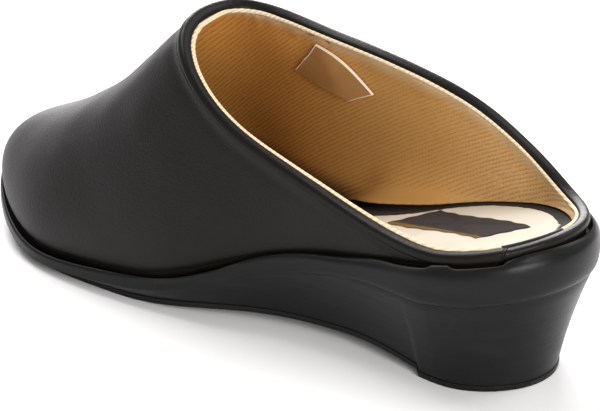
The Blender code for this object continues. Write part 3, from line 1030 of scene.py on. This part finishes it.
@dataclass
class UnitSole:
    """Moulded sole with its lip, groove, heel band, hollowed wall and treads."""

    last: Last
    finish: SoleRubber = field(default_factory=SoleRubber)
    band_samples: int = 22
    wall_samples: int = 12
    wall_hollow: float = 1.0
    tread_lip: float = 0.3
    tread_tall: float = 1.9
    cap_scale: float = 0.55
    foot_groove: float = 0.75
    groove_dip: float = 0.5
    seam: float = 0.25
    seam_deep: float = 1.2
    climb: float = 1.3
    rear_climb: float = 1.2
    climb_end: float = 0.30
    climb_fade: float = 0.10
    notch_end: float = 0.32
    notch_fade: float = 0.08
    notch_drop: float = 0.45
    front_belly: float = 1.3
    smooth_from: float = 0.36
    smooth_run: float = 0.14
    smooth_foot: float = 0.97
    edge_bead: float = 0.35
    rear_window: tuple[float, ...] = (0.0430, 0.012, -0.16, 0.06)
    openings: Rows = (
        (0.130, 0.030, 0.0835, 0.0035, 0.60), (0.0735, 0.003, 0.0425, 0.003, 0.65),
        (0.026, 0.050, -0.060, 0.030, 0.45),
    )
    sections: Rows = (
        (0.00, 0.245, 0.085, 0.088), (0.12, 0.240, 0.086, 0.072), (0.17, 0.205, 0.083, 0.078),
        (0.23, 0.150, 0.078, 0.078), (0.28, 0.128, 0.074, 0.078), (0.42, 0.120, 0.050, 0.040),
        (0.50, 0.115, 0.046, 0.025), (0.58, 0.100, 0.056, 0.014), (0.72, 0.085, 0.068, 0.008),
        (0.88, 0.080, 0.052, 0.012), (1.00, 0.080, 0.020, 0.040),
    )
    groove: Rows = (
        (0.30, 0.0), (0.415, 0.0), (0.432, 0.75), (0.445, 1.6), (0.60, 1.5), (0.72, 1.3),
        (0.88, 0.6), (1.00, 0.25),
    )
    band: Rows = (
        (0.10, 0.00), (0.50, -0.02), (0.82, 0.09), (0.97, 0.28), (1.00, 0.52), (0.93, 0.80),
        (0.76, 0.97), (0.58, 1.04),
    )
    hollows: Rows = ((0.0, 0.0), (0.22, 0.7), (0.50, 1.0), (0.80, 0.6), (1.0, 0.0))
    tread_edge: Rows = ((0.8, 0.96), (1.0, 0.84), (1.0, 0.30), (0.8, 0.06), (0.6, 0.0))

    def gaps(self) -> Array:
        """How far the sole's edge stands off the upper round the heel, by column."""
        turn = self.last.rear_turn
        return sum(size * window(turn, *edges) for *edges, size in self.openings)

    def ring(
        self,
        outward: Array,
        height: Callable[[Array], Array],
        drop: Union[float, Array] = 0.0,
        scale: float = 1.0,
    ) -> Array:
        """A ring so far outside the feather line, set under a height line by the drop."""
        plan = self.last.plan_ring(outward, scale)
        return np.column_stack([plan, height(self.last.along(plan[:, 1])) - drop])

    def band_height(self, share: Array, down: float) -> Array:
        """Height of a line so far down the band."""
        tall = curve_of(self.sections, 1, self.last.heel_height)
        return self.last.feather_height(share) - tall(share) * down

    def tread_height(self, share: Array, lift: float) -> Array:
        """Height of a line so far up the tread."""
        return self.last.underside(share) + self.tread_tall * lift

    def wall_height(self, share: Array, down: float) -> Array:
        """Height of a line so far down the wall, from the band's foot to the tread."""
        top = self.band_height(share, self.band[-1][1])
        return top + (self.tread_height(share, 1.0) - top) * down

    def build(self) -> Piece:
        """Lays the sole's rings from the seat over the band and down to the treads.

        Returns:
            The sole, which stands for the solid.
        """
        last, share, ring = self.last, self.last.share, self.ring
        out = curve_of(self.sections, 2, last.heel_height)(share)
        tuck = curve_of(self.sections, 3, last.ball_width)(share)
        gap = self.gaps()
        groove = curve_of(self.groove, 1)(share)
        dip = self.groove_dip * groove
        inner = last.play + np.maximum(groove, self.seam) + gap * 0.8
        crisp = smooth_step((self.notch_end - share) / self.notch_fade)
        rear = window(last.rear_turn, *self.rear_window)
        climbs = smooth_step((self.climb_end - share) / self.climb_fade)
        climbs = climbs * (self.climb + self.rear_climb * rear)
        steps = list(range(len(self.band)))
        band_across, band_down = (Curve(steps, [row[k] for row in self.band]) for k in range(2))
        foot_across = self.band[-1][0]
        rings = [ring(inner, last.seat, 0, self.cap_scale), ring(inner, last.seat)]
        rings.append(ring(inner, last.feather_height, self.seam_deep + dip + gap))
        smooth_front = smooth_step((share - self.smooth_from) / self.smooth_run)
        for at in np.linspace(0, len(self.band) - 1, self.band_samples):
            across, down = float(band_across(at)), float(band_down(at))
            full = across + (1 - across) * smooth_front * (down > 0.6)
            sink = (dip + gap * 0.7) * (1 - smooth_step(down / 0.6))
            closed = climbs * (1 - np.minimum(gap, 1))
            sink = sink - closed * (1 - smooth_step((across - 0.1) / 0.6))
            sink = sink + self.edge_bead * hump(across, 0.1, 0.12) * (down < 0.2)
            height = partial(self.band_height, down=down)
            rings.append(ring(inner + (out - inner) * full, height, sink))
        foot_across = foot_across + (self.smooth_foot - foot_across) * smooth_front
        top_out, low_out = inner + (out - inner) * foot_across, -tuck
        notch = self.foot_groove * crisp
        wall_top = partial(self.wall_height, down=0.0)
        rings.append(ring(top_out - notch, wall_top, self.notch_drop * (1 - smooth_front)))
        hollow = curve_of(self.hollows, 1, self.wall_hollow)
        for down in np.linspace(0.035, 1, self.wall_samples):
            scoop = hollow(down) * (1 - self.front_belly * smooth_front)
            here = top_out + (low_out - top_out) * down - scoop - notch * 0.35 * (1 - down)
            rings.append(ring(here, partial(self.wall_height, down=down)))
        for lip, lift in self.tread_edge:
            height = partial(self.tread_height, lift=lift)
            rings.append(ring(low_out + self.tread_lip * lip, height))
        foot_out = low_out + self.tread_lip * self.tread_edge[-1][0]
        for scale in (0.8, self.cap_scale):
            rings.append(ring(foot_out, last.underside, 0, scale))
        skin = Skin("sole_moulding", np.array(rings), Ends.CAPS, last.shift, sharp_degrees=50)
        piece = skin.build(self.finish.material())
        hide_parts("unit_sole")
        return piece


@dataclass
class UpperShell:
    """The leather wall, with its soft troughs."""

    last: Last
    sole: UnitSole
    finish: UpperLeather = field(default_factory=UpperLeather)
    thick: float = 1.5
    rings: int = 64
    top_stop: float = 3.0
    roll_room: float = 14.0
    roll_lift: float = 0.75
    lift_band: Pair = (3.0, 2.3)
    roll_trough: float = 0.16
    trough_band: Pair = (7.0, 2.6)
    pull: float = 0.15
    pull_over: float = 20.0
    pull_under: float = 14.0
    foot_tuck: float = 0.35

    def relief(self, below: Array, above: Array) -> Array:
        """How far the leather stands out from the last's face.

        Args:
            below: distance under the topline, rings by columns.
            above: distance over the feather line, rings by columns.

        Returns:
            Relief in millimetres, rings by columns.
        """
        room = smooth_step(self.last.run[-1] / self.roll_room)[None]
        lifted = self.roll_lift * hump(below, *self.lift_band)
        trough = (lifted - self.roll_trough * hump(below, *self.trough_band)) * room
        wide = self.last.rear_turn[None] * 2 * np.pi
        waves = np.sin(wide * 7 + above / 11) * np.sin(above / 17 + wide * 3)
        waves = waves + 0.5 * np.sin(wide * 17 - above / 8) * np.sin(above / 9 + 1.3)
        drag = self.pull * waves
        drag = drag * smooth_step(above / self.pull_over) * smooth_step(below / self.pull_under)
        foot = -self.foot_tuck * hump(above, 0.0, 1.2)
        return trough + drag + foot - self.sole.gaps()[None] * 0.6 * hump(above, 0.0, 0.9)

    def build(self) -> Piece:
        """Lays the outer face up to the roll, and the back of the leather down again.

        Returns:
            The leather, which stands for the solid.
        """
        last = self.last
        top = last.run[-1] - self.top_stop
        share = np.linspace(0, 1, self.rings)[:, None] ** 1.2
        rise = share * top[None]
        points, normals = last.on_wall(rise)
        outer = points + normals * self.relief(last.run[-1][None] - rise, rise)[..., None]
        behind = np.linspace(1, 0, self.rings // 3)[:, None] ** 1.2 * top[None]
        points, normals = last.on_wall(behind)
        inner = points - normals * self.thick
        low, back = (last.on_seat(last.plan_ring(-deep)) for deep in (0.3, self.thick))
        rings = np.concatenate([low[None], outer, inner, back[None]])
        piece = Skin("leather_upper", rings, Ends.LOOP, last.shift).build(self.finish.material())
        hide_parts("upper")
        return piece


@dataclass
class ToplineRoll:
    """The padded binding round the collar."""

    last: Last
    wide: float = 4.6
    tall: float = 4.2
    sides: int = 26
    square: float = 2.9
    thin_after_join: float = 0.20
    thin_edges: tuple[float, ...] = (0.004, -0.10, 0.10)
    ripple: float = 0.012

    def build(self) -> Piece:
        """Sweeps the rounded section along the wall's edge.

        Returns:
            The binding, which stands for the solid.
        """
        last = self.last
        across, upward = last.normals[-1], last.up_wall()
        points, normals = last.on_wall(last.run[-1:] - self.tall / 2)
        centre = points[0] - normals[0] * last.wall / 2
        turn = last.rear_turn
        size = 1 - self.thin_after_join * window(turn, last.binding_join, *self.thin_edges)
        wide = turn * 2 * np.pi
        size = size + self.ripple * np.sin(wide * 23) * np.sin(wide * 9 + 1)
        around = last.loop_length(centre)
        rings, way = [], []
        for angle in (np.arange(self.sides) + 0.5) * 2 * np.pi / self.sides - np.pi:
            aside, up = np.cos(angle), np.sin(angle)
            squash = (abs(aside) ** self.square + abs(up) ** self.square) ** (-1 / self.square)
            wide = aside * squash * self.wide / 2
            tall = up * squash * self.tall / 2
            rings.append(centre + across * (wide * size)[:, None] + upward * (tall * size)[:, None])
            way.append(np.full(last.count, angle * self.wide / 2))
        finish = BindingLeather(join_at=last.run_at(last.binding_join, around))
        rings, way = np.array(rings), np.array(way)
        skin = Skin("topline_binding", rings, Ends.LOOP, last.shift, around, way)
        piece = skin.build(finish.material())
        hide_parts("topline_roll")
        return piece


@dataclass
class KnitLining:
    """Ribbed knit on the inside of the wall, folded over at its top edge."""

    last: Last
    depth: float = 2.9
    back: float = 1.7
    fold: float = 0.9
    lean: float = 0.9
    swell: float = 0.45
    rings: int = 52
    fold_rings: int = 14
    fold_from: float = -50.0
    fold_to: float = 150.0
    lip_run: float = 2.6
    puff: float = 0.22
    side_blend: float = 60.0
    drops: Rows = (
        (0.00, 0.50, 0.90), (0.10, 0.15, 1.20), (0.30, 0.10, 1.00), (0.50, 0.10, 0.80),
        (0.62, 0.20, 0.30),
    )
    creases: Rows = (
        (0.462, 3.5, 0.15, 3.0, 0.9, 0.75), (0.505, 7.0, 1.10, 4.0, 1.5, 0.70),
        (0.520, 11.0, 1.30, 4.0, 1.8, 0.45), (0.300, 9.0, 2.20, 7.0, 3.0, 0.30),
    )
    fillets: Rows = (
        (0.05, 1.3, 1.4), (0.14, 1.6, 1.5), (0.20, 1.0, 1.5), (0.255, 3.8, 1.5), (0.29, 8.0, 1.5),
        (0.328, 10.5, 1.5), (0.36, 11.5, 1.5), (0.39, 9.5, 1.5), (0.42, 5.0, 1.6), (0.45, 2.6, 1.8),
        (0.60, 2.2, 2.2),
    )

    def top_drop(self) -> Array:
        """How far the fold's top lies under the topline, by column.

        Returns:
            The drop in millimetres.
        """
        share = self.last.share
        left, right = curve_of(self.drops, 1)(share), curve_of(self.drops, 2)(share)
        return right + (left - right) * self.leftness()

    def leftness(self) -> Array:
        """From 0 on the right side to 1 on the left, by column."""
        aside = self.last.loop[:, 0] - self.last.middle(self.last.loop[:, 1])
        return smooth_step(0.5 + aside / self.side_blend)

    def relief(self, below: Array, above: Array) -> Array:
        """How far the knit puffs off its backing, in millimetres, rings by columns.

        Args:
            below: distance under the topline, rings by columns.
            above: distance over the feather line, rings by columns.

        Returns:
            The puff, rings by columns.
        """
        wide = self.last.turn[None] * 2 * np.pi
        waves = np.sin(wide * 9 + above / 13) * np.sin(above / 15 + wide * 2)
        waves = waves + 0.6 * np.sin(wide * 31 + 1) * hump(below, 6, 5)
        puff = self.puff * waves * smooth_step(above / 8)
        for share, down, lean, long, narrow, deep in self.creases:
            ahead = (self.last.share[None] - share) * self.last.sole_length
            crease = hump(ahead - (below - down) * lean, 0, narrow) * hump(below, down, long)
            puff = puff - deep * crease * ~self.last.left[None]
        return puff

    def build(self) -> Piece:
        """Lays the knit from its foot on the footbed, up the wall and over its fold.

        Returns:
            The lining, which stands for the inside of the upper.
        """
        last, drop = self.last, self.top_drop()
        full = last.run[-1]
        rings, below_rows = [], []

        def add(rise: Array, deep: Array) -> None:
            """Adds the ring that lies so far up the wall and so deep in it."""
            points, normals = last.on_wall(rise[None])
            rings.append(points[0] - normals[0] * np.broadcast_to(deep, last.count)[:, None])
            below_rows.append(full - rise - drop)

        centre = full - drop - self.fold
        start = np.full(last.count, last.footbed_rise)
        left = self.leftness()
        right_wide, left_wide = (curve_of(self.fillets, side)(last.share) for side in (1, 2))
        wide = right_wide * (1 - left) + left_wide * left
        lip = self.swell + self.fold * np.cos(np.radians(self.fold_from)) + self.lean * left
        top = centre - self.fold * 1.5
        for share in np.linspace(0, 1, self.rings):
            rise = start + (top - start) * share
            puff = self.relief((full - rise)[None], rise[None])[0]
            puff = puff + lip * np.exp(-(top - rise) / self.lip_run)
            curl = wide * np.exp(-(rise - start) / (1.0 + 0.32 * wide))
            add(rise, self.depth + puff + curl)
        for angle in np.radians(np.linspace(self.fold_from, self.fold_to, self.fold_rings)):
            bulge = self.depth + self.swell + self.lean * left + self.fold * np.cos(angle)
            add(centre + self.fold * np.sin(angle), bulge)
        for share in np.linspace(1, 0, self.fold_rings):
            add(start + (centre - start) * share, np.full(last.count, self.back))
        around = last.loop_length(rings[self.rings])
        bare_from, bare_to = last.run_at(0.001, around), last.run_at(last.binding_join, around)
        finish = RibbedKnit(bare_from=bare_from, bare_to=bare_to)
        rings, below = np.array(rings), np.array(below_rows)
        skin = Skin("knit_lining", rings, Ends.LOOP, last.shift, around, below)
        piece = skin.build(finish.material())
        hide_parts("upper")
        return piece


@dataclass
class Footbed:
    """The black insole board inside the wall."""

    last: Last
    finish: FootbedBoard = field(default_factory=FootbedBoard)
    cap_scale: float = 0.55
    edge: float = 0.5

    def build(self) -> Piece:
        """Lays the board on the seat, its top edge eased.

        Returns:
            The board, which stands for the solid.
        """
        last = self.last
        inset = -(last.wall + 2 * last.play)
        rings = [last.on_seat(last.plan_ring(inset, scale)) for scale in (self.cap_scale, 1.0)]
        for back, drop in ((0.0, self.edge), (0.15 * self.edge, 0.1), (self.edge, 0.0)):
            rings.append(last.on_footbed(last.plan_ring(inset - back), -drop))
        for scale in (0.9, 0.75, 0.6, 0.4, 0.2):
            rings.append(last.on_footbed(last.plan_ring(inset - self.edge, scale)))
        skin = Skin("footbed_board", np.array(rings), Ends.CAPS, last.shift)
        piece = skin.build(self.finish.material())
        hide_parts("footbed")
        return piece


@dataclass
class SockLining:
    """The cream sock over the footbed's heel, its cut edge a little frayed."""

    last: Last
    finish: SockFelt = field(default_factory=SockFelt)
    thick: float = 0.9
    samples: int = 330
    fray: float = 0.26
    rear_aside: float = 3.2
    spine: Pair = (0.40, 0.12)
    seed: int = 7
    reach: Rows = (
        (0.055, 0.00), (0.062, 0.40), (0.080, 0.60), (0.120, 0.75), (0.176, 0.81), (0.221, 0.78),
        (0.258, 0.66), (0.290, 0.48), (0.330, 0.33), (0.380, 0.30), (0.430, 0.28), (0.452, 0.20),
        (0.460, 0.00),
    )
    layers: Rows = (
        (0.35, 0.0, 0.0, 0.0), (0.75, 0.0, 0.0, 0.0), (1.00, -0.40, 0.0, 0.2),
        (1.00, 0.0, 2 / 9, 1.0), (1.00, 0.0, 0.55, 0.9), (1.00, -0.35, 0.95, 0.4),
        (1.00, -1.0, 1.0, 0.1), (0.90, -1.0, 1.0, 0.0), (0.70, -1.0, 1.0, 0.0),
        (0.50, -1.0, 1.0, 0.0), (0.30, -1.0, 1.0, 0.0),
    )

    def outline(self) -> Array:
        """Even plan points round the sock, rear tip first, left side next.

        Returns:
            The points, in rows of x and y.
        """
        last = self.last
        y = last.y_at([row[0] for row in self.reach])
        room = (last.half_width(y) - last.wall - 2 * last.play) * [row[1] for row in self.reach]
        middle = last.middle(y) + self.rear_aside * smooth_step((0.15 - last.along(y)) / 0.09)
        left = np.stack([middle + room, y], 1)
        right = np.stack([middle - room, y], 1)
        corners = np.concatenate([right[3:0:-1], left, right[-2::-1], left[1:4]])
        run = np.concatenate([[0], np.cumsum(np.linalg.norm(np.diff(corners, axis=0), axis=1))])
        rear, toe, end = run[3], run[len(left) + 2], run[-4]
        spans = ((rear, toe), (toe, end))
        even = np.concatenate([np.linspace(*span, self.samples, endpoint=False) for span in spans])
        smooth = [Curve(list(run), list(corners[:, k])) for k in range(2)]
        return np.stack([smooth[0](even), smooth[1](even)], 1)

    def build(self) -> Piece:
        """Lays the sock as a thin sheet with a soft frayed rim.

        Returns:
            The sock, which stands for the solid.
        """
        last, loop = self.last, self.outline()
        out, count = last.outward(loop), len(loop)
        chance = np.random.default_rng(self.seed)
        tufts = chance.normal(0, 1, count) * 0.5
        tufts = tufts + np.repeat(chance.normal(0, 1, count // 4 + 1), 4)[:count]
        spine_y = np.clip(loop[:, 1], *last.y_at(self.spine))
        spine = np.stack([last.middle(spine_y), spine_y], 1)
        rings = []
        for scale, offset, lift, ragged in self.layers:
            edge = loop + out * (offset + self.fray * ragged * tufts)[:, None]
            raised = last.play * 0.6 + self.thick * lift
            rings.append(last.on_footbed(spine + (edge - spine) * scale, raised))
        skin = Skin("sock_felt", np.array(rings), Ends.CAPS, last.shift)
        piece = skin.build(self.finish.material())
        width, length = np.ptp(loop, axis=0) * MM
        after = np.roll(loop, -1, 0)
        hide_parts("sock_lining")
        return piece


@dataclass
class SockPatch:
    """A plain woven patch on the sock, its long sides wavy."""

    last: Last
    finish: WovenPatch = field(default_factory=WovenPatch)
    base: float = 1.1
    thick: float = 0.5
    middle: Pair = (-2.7, 76.0)
    half_long: Pair = (3.7, 20.8)
    half_wide: Pair = (-7.0, 5.5)
    wave: float = 0.09
    ripple: float = 0.035
    long_steps: int = 64
    wide_steps: int = 12
    layers: Rows = (
        (0.40, 0.0), (1.0, 0.0), (1.006, 0.25), (0.995, 0.45), (0.97, 0.5), (0.85, 0.5),
        (0.50, 0.5), (0.20, 0.5),
    )

    def build(self) -> Piece:
        """Lays the patch as a grid of short strips, with its rim turned down.

        Returns:
            The patch, which stands for the solid.
        """
        forth, across = (np.linspace(-1, 1, n) for n in (self.long_steps, self.wide_steps))
        along, end = np.ones(self.long_steps), np.ones(self.wide_steps)
        run = np.concatenate([forth, end, forth[::-1], -end])
        side = np.concatenate([along, across[::-1], -along, across])
        wavy = side + self.wave * np.sin(run * np.pi)
        wavy = wavy + self.ripple * np.sin(run * 17) * np.abs(side)
        loop = np.stack([run + 0.02 * np.sin(side * 9), wavy], 1)
        keep = np.linalg.norm(np.roll(loop, -1, 0) - loop, axis=1) > 1e-4
        loop = loop[keep]
        axes = np.array([self.half_long, self.half_wide])
        half_length, half_width = np.linalg.norm(axes, axis=1)
        rings, sideways = [], []
        for scale, lift in self.layers:
            plan = np.array(self.middle) + (loop * scale) @ axes
            rings.append(self.last.on_footbed(plan, self.base + lift * self.thick * 2))
            sideways.append(loop[:, 1] * scale * half_width)
        around = loop[:, 0] * half_length
        around, rings, sideways = np.append(around, around[0]), np.array(rings), np.array(sideways)
        skin = Skin("woven_patch", rings, Ends.CAPS, self.last.shift, around, sideways)
        piece = skin.build(self.finish.material())
        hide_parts("sock_patch")
        return piece


@dataclass
class LiningTab:
    """A smooth leather tab sewn to the right side's lining, a little bulged."""

    last: Last
    finish: TabLeather = field(default_factory=TabLeather)
    depth: float = 3.5
    thick: float = 0.8
    bulge: float = 0.5
    arch: float = 0.05
    straighten: float = 0.0045
    sharp_degrees: float = 50.0
    long_cells: int = 40
    wide_cells: int = 20
    corners: Rows = ((0.482, 0.910), (0.393, 0.705), (0.434, 0.625), (0.532, 0.716))

    def place(self, share: float, rise: float, depth: float) -> Array:
        """A point in the right side's wall, by its share of the length and of the rise.

        Args:
            share: share of the length from the heel.
            rise: share of the way up the wall.
            depth: depth under the outer face.

        Returns:
            The point.
        """
        last, half = self.last, self.last.side_stations
        columns = np.arange(2 * half - 1, half, -1)
        column = float(np.interp(share, last.share[columns], columns))
        low, part = int(column), column - int(column)
        found = []
        for j in (low, low + 1):
            at = rise * last.run[-1, j]
            point = [np.interp(at, last.run[:, j], last.shell[:, j, k]) for k in range(3)]
            normal = [np.interp(at, last.run[:, j], last.normals[:, j, k]) for k in range(3)]
            found.append(np.array(point) - unit(np.array(normal)) * depth)
        return found[0] * (1 - part) + found[1] * part

    def build(self) -> Piece:
        """Bends a closed sheet to the wall.

        Returns:
            The tab, which stands for the solid.
        """
        top_rear, top_front, low_front, low_rear = (np.array(corner) for corner in self.corners)
        rows, columns = self.wide_cells + 1, self.long_cells + 1
        layers, inside = [], []
        for back in (True, False):
            for i, down in enumerate(np.linspace(0, 1, rows)):
                for j, forward in enumerate(np.linspace(0, 1, columns)):
                    top = top_rear + (top_front - top_rear) * forward
                    low = low_rear + (low_front - low_rear) * forward
                    share, rise = top + (low - top) * down
                    share -= self.straighten * np.sin(np.pi * down) * (1 - forward)
                    rise += self.arch * np.sin(np.pi * forward) * (1 - down)
                    swell = self.bulge * np.sin(np.pi * forward)
                    swell *= np.sin(np.pi * (0.15 + 0.7 * down))
                    deep = self.depth if back else self.depth + self.thick + swell
                    layers.append(self.place(share, rise, deep))
                    rim = min(forward * 20, (1 - forward) * 27, down * 18, (1 - down) * 13 + 3)
                    inside.append(0.0 if back else rim)
        index = np.arange(rows * columns).reshape(rows, columns)
        size = rows * columns
        faces = []
        for i in range(rows - 1):
            for j in range(columns - 1):
                quad = (index[i, j], index[i, j + 1], index[i + 1, j + 1], index[i + 1, j])
                faces.append(tuple(int(v) for v in quad[::-1]))
                faces.append(tuple(int(v) + size for v in quad))
        rim = [(0, j) for j in range(columns)]
        rim += [(i, columns - 1) for i in range(1, rows)]
        rim += [(rows - 1, j) for j in range(columns - 2, -1, -1)]
        rim += [(i, 0) for i in range(rows - 2, 0, -1)]
        for one, other in zip(rim, rim[1:] + rim[:1]):
            a, b = int(index[one]), int(index[other])
            faces.append((a, b, b + size, a + size))
        mesh = bpy.data.meshes.new("leather_tab")
        points = (np.array(layers) + np.array(self.last.shift)) * MM
        mesh.from_pydata(points.tolist(), [], faces)
        corner = vertex_of_corners(mesh)
        map_run(mesh, np.zeros(len(corner)), np.array(inside)[corner])
        piece = add_piece(mesh, self.finish.material(), self.sharp_degrees)
        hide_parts("lining_tab")
        return piece


WARM: Colour = (1.0, 0.985, 0.98)
ROSY: Colour = (1.0, 0.955, 0.97)
STRAW: Colour = (1.0, 0.985, 0.965)


@dataclass(frozen=True)
class SoftBox:
    """One soft area light that looks at a place."""

    name: str
    at: Place
    towards: Place
    wide: float
    power: float
    colour: Colour = (1.0, 1.0, 1.0)

    def build(self) -> Piece:
        """Hangs the light.

        Returns:
            The lamp's object.
        """
        light = bpy.data.lights.new(self.name, "AREA")
        light.shape, light.size = "SQUARE", self.wide
        light.energy, light.color = self.power, self.colour
        lamp = bpy.data.objects.new(self.name, light)
        lamp.location = self.at
        look = Vector(self.towards) - Vector(self.at)
        lamp.rotation_euler = look.to_track_quat("-Z", "Y").to_euler()
        bpy.context.scene.collection.objects.link(lamp)
        return lamp


@dataclass
class Studio:
    """Pale floor, soft lights and the camera."""

    last: Last
    azimuth: float = 130.0
    elevation: float = 23.1
    distance: float = 927.5
    aim: Place = (0.0, 0.0, 45.0)
    aim_pixel: Pair = (273.2, 160.2)
    frame_pixels: Pair = (600.0, 411.0)
    focal_pixels: float = 2727.5
    sensor: float = 36.0
    world_strength: float = 0.50
    floor_size: float = 12.0
    lamps: tuple[SoftBox, ...] = (
        SoftBox("key_softbox", (-0.2, -0.8, 1.3), (0.0, -0.03, 0.05), 1.0, 20.0, WARM),
        SoftBox("rear_softbox", (-1.0, -0.9, 0.55), (0.0, -0.03, 0.06), 0.9, 27.0, ROSY),
        SoftBox("back_softbox", (-0.9, 0.6, 1.0), (0.0, 0.0, 0.04), 0.7, 7.0, WARM),
        SoftBox("fill_softbox", (0.5, 1.15, 0.5), (0.0, 0.0, 0.05), 0.6, 14.0, STRAW),
    )

    def camera(self) -> None:
        """Sets the camera at the photograph's angle, turned a little so that the frame matches."""
        turn, lift = np.radians(self.azimuth), np.radians(self.elevation)
        back = np.array([np.sin(turn) * np.cos(lift), -np.cos(turn) * np.cos(lift), np.sin(lift)])
        right = np.array([np.cos(turn), np.sin(turn), 0.0])
        up = np.cross(right, -back)
        aside = (self.frame_pixels[0] / 2 - self.aim_pixel[0]) / self.focal_pixels
        down = (self.frame_pixels[1] / 2 - self.aim_pixel[1]) / self.focal_pixels
        look = unit(-back + right * aside - up * down)
        side = unit(np.cross(look, up))
        head = np.cross(side, look)
        place = (np.array(self.aim) + back * self.distance + np.array(self.last.shift)) * MM
        data = bpy.data.cameras.new("camera")
        data.sensor_width = self.sensor
        data.lens = self.focal_pixels * self.sensor / self.frame_pixels[0]
        data.clip_start, data.clip_end = 0.05, 50.0
        camera = bpy.data.objects.new("camera", data)
        bpy.context.scene.collection.objects.link(camera)
        axes = Matrix((side, head, -look)).transposed().to_4x4()
        camera.matrix_world = Matrix.Translation(Vector(place)) @ axes
        bpy.context.scene.camera = camera

    def floor(self) -> None:
        """Lays the pale floor."""
        shader = Shader("pale_floor")
        cloud = shader.noise(shader.place(), 0.002, 2.0)
        shader.finish(
            Base_Color=shader.mix(cloud, (0.91, 0.91, 0.91), (0.93, 0.93, 0.93)),
            Roughness=0.9,
            Specular_IOR_Level=0.1,
        )
        half = self.floor_size / 2
        mesh = bpy.data.meshes.new("floor")
        corners = [(-half, -half, 0), (half, -half, 0), (half, half, 0), (-half, half, 0)]
        mesh.from_pydata(corners, [], [(0, 1, 2, 3)])
        mesh.materials.append(shader.material)
        floor = bpy.data.objects.new("floor", mesh)
        floor.location.z = -0.0002
        bpy.context.scene.collection.objects.link(floor)

    def build(self) -> None:
        """Sets up the camera, the floor, the surrounding light and the soft boxes."""
        self.camera()
        self.floor()
        world = bpy.data.worlds.new("studio")
        world.use_nodes = True
        background = world.node_tree.nodes["Background"]
        background.inputs["Color"].default_value = (1.0, 1.0, 1.0, 1.0)
        background.inputs["Strength"].default_value = self.world_strength
        bpy.context.scene.world = world
        bpy.context.scene.view_settings.view_transform = "Standard"
        for lamp in self.lamps:
            lamp.build()


def main() -> None:
    """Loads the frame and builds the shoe's pieces in order."""
    logging.basicConfig(level=logging.INFO, format="%(message)s")
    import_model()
    last = Last()
    Studio(last).build()
    sole = UnitSole(last)
    sole.build()
    UpperShell(last, sole).build()
    ToplineRoll(last).build()
    KnitLining(last).build()
    Footbed(last).build()
    SockLining(last).build()
    SockPatch(last).build()
    LiningTab(last).build()


if __name__ == "__main__":
    main()
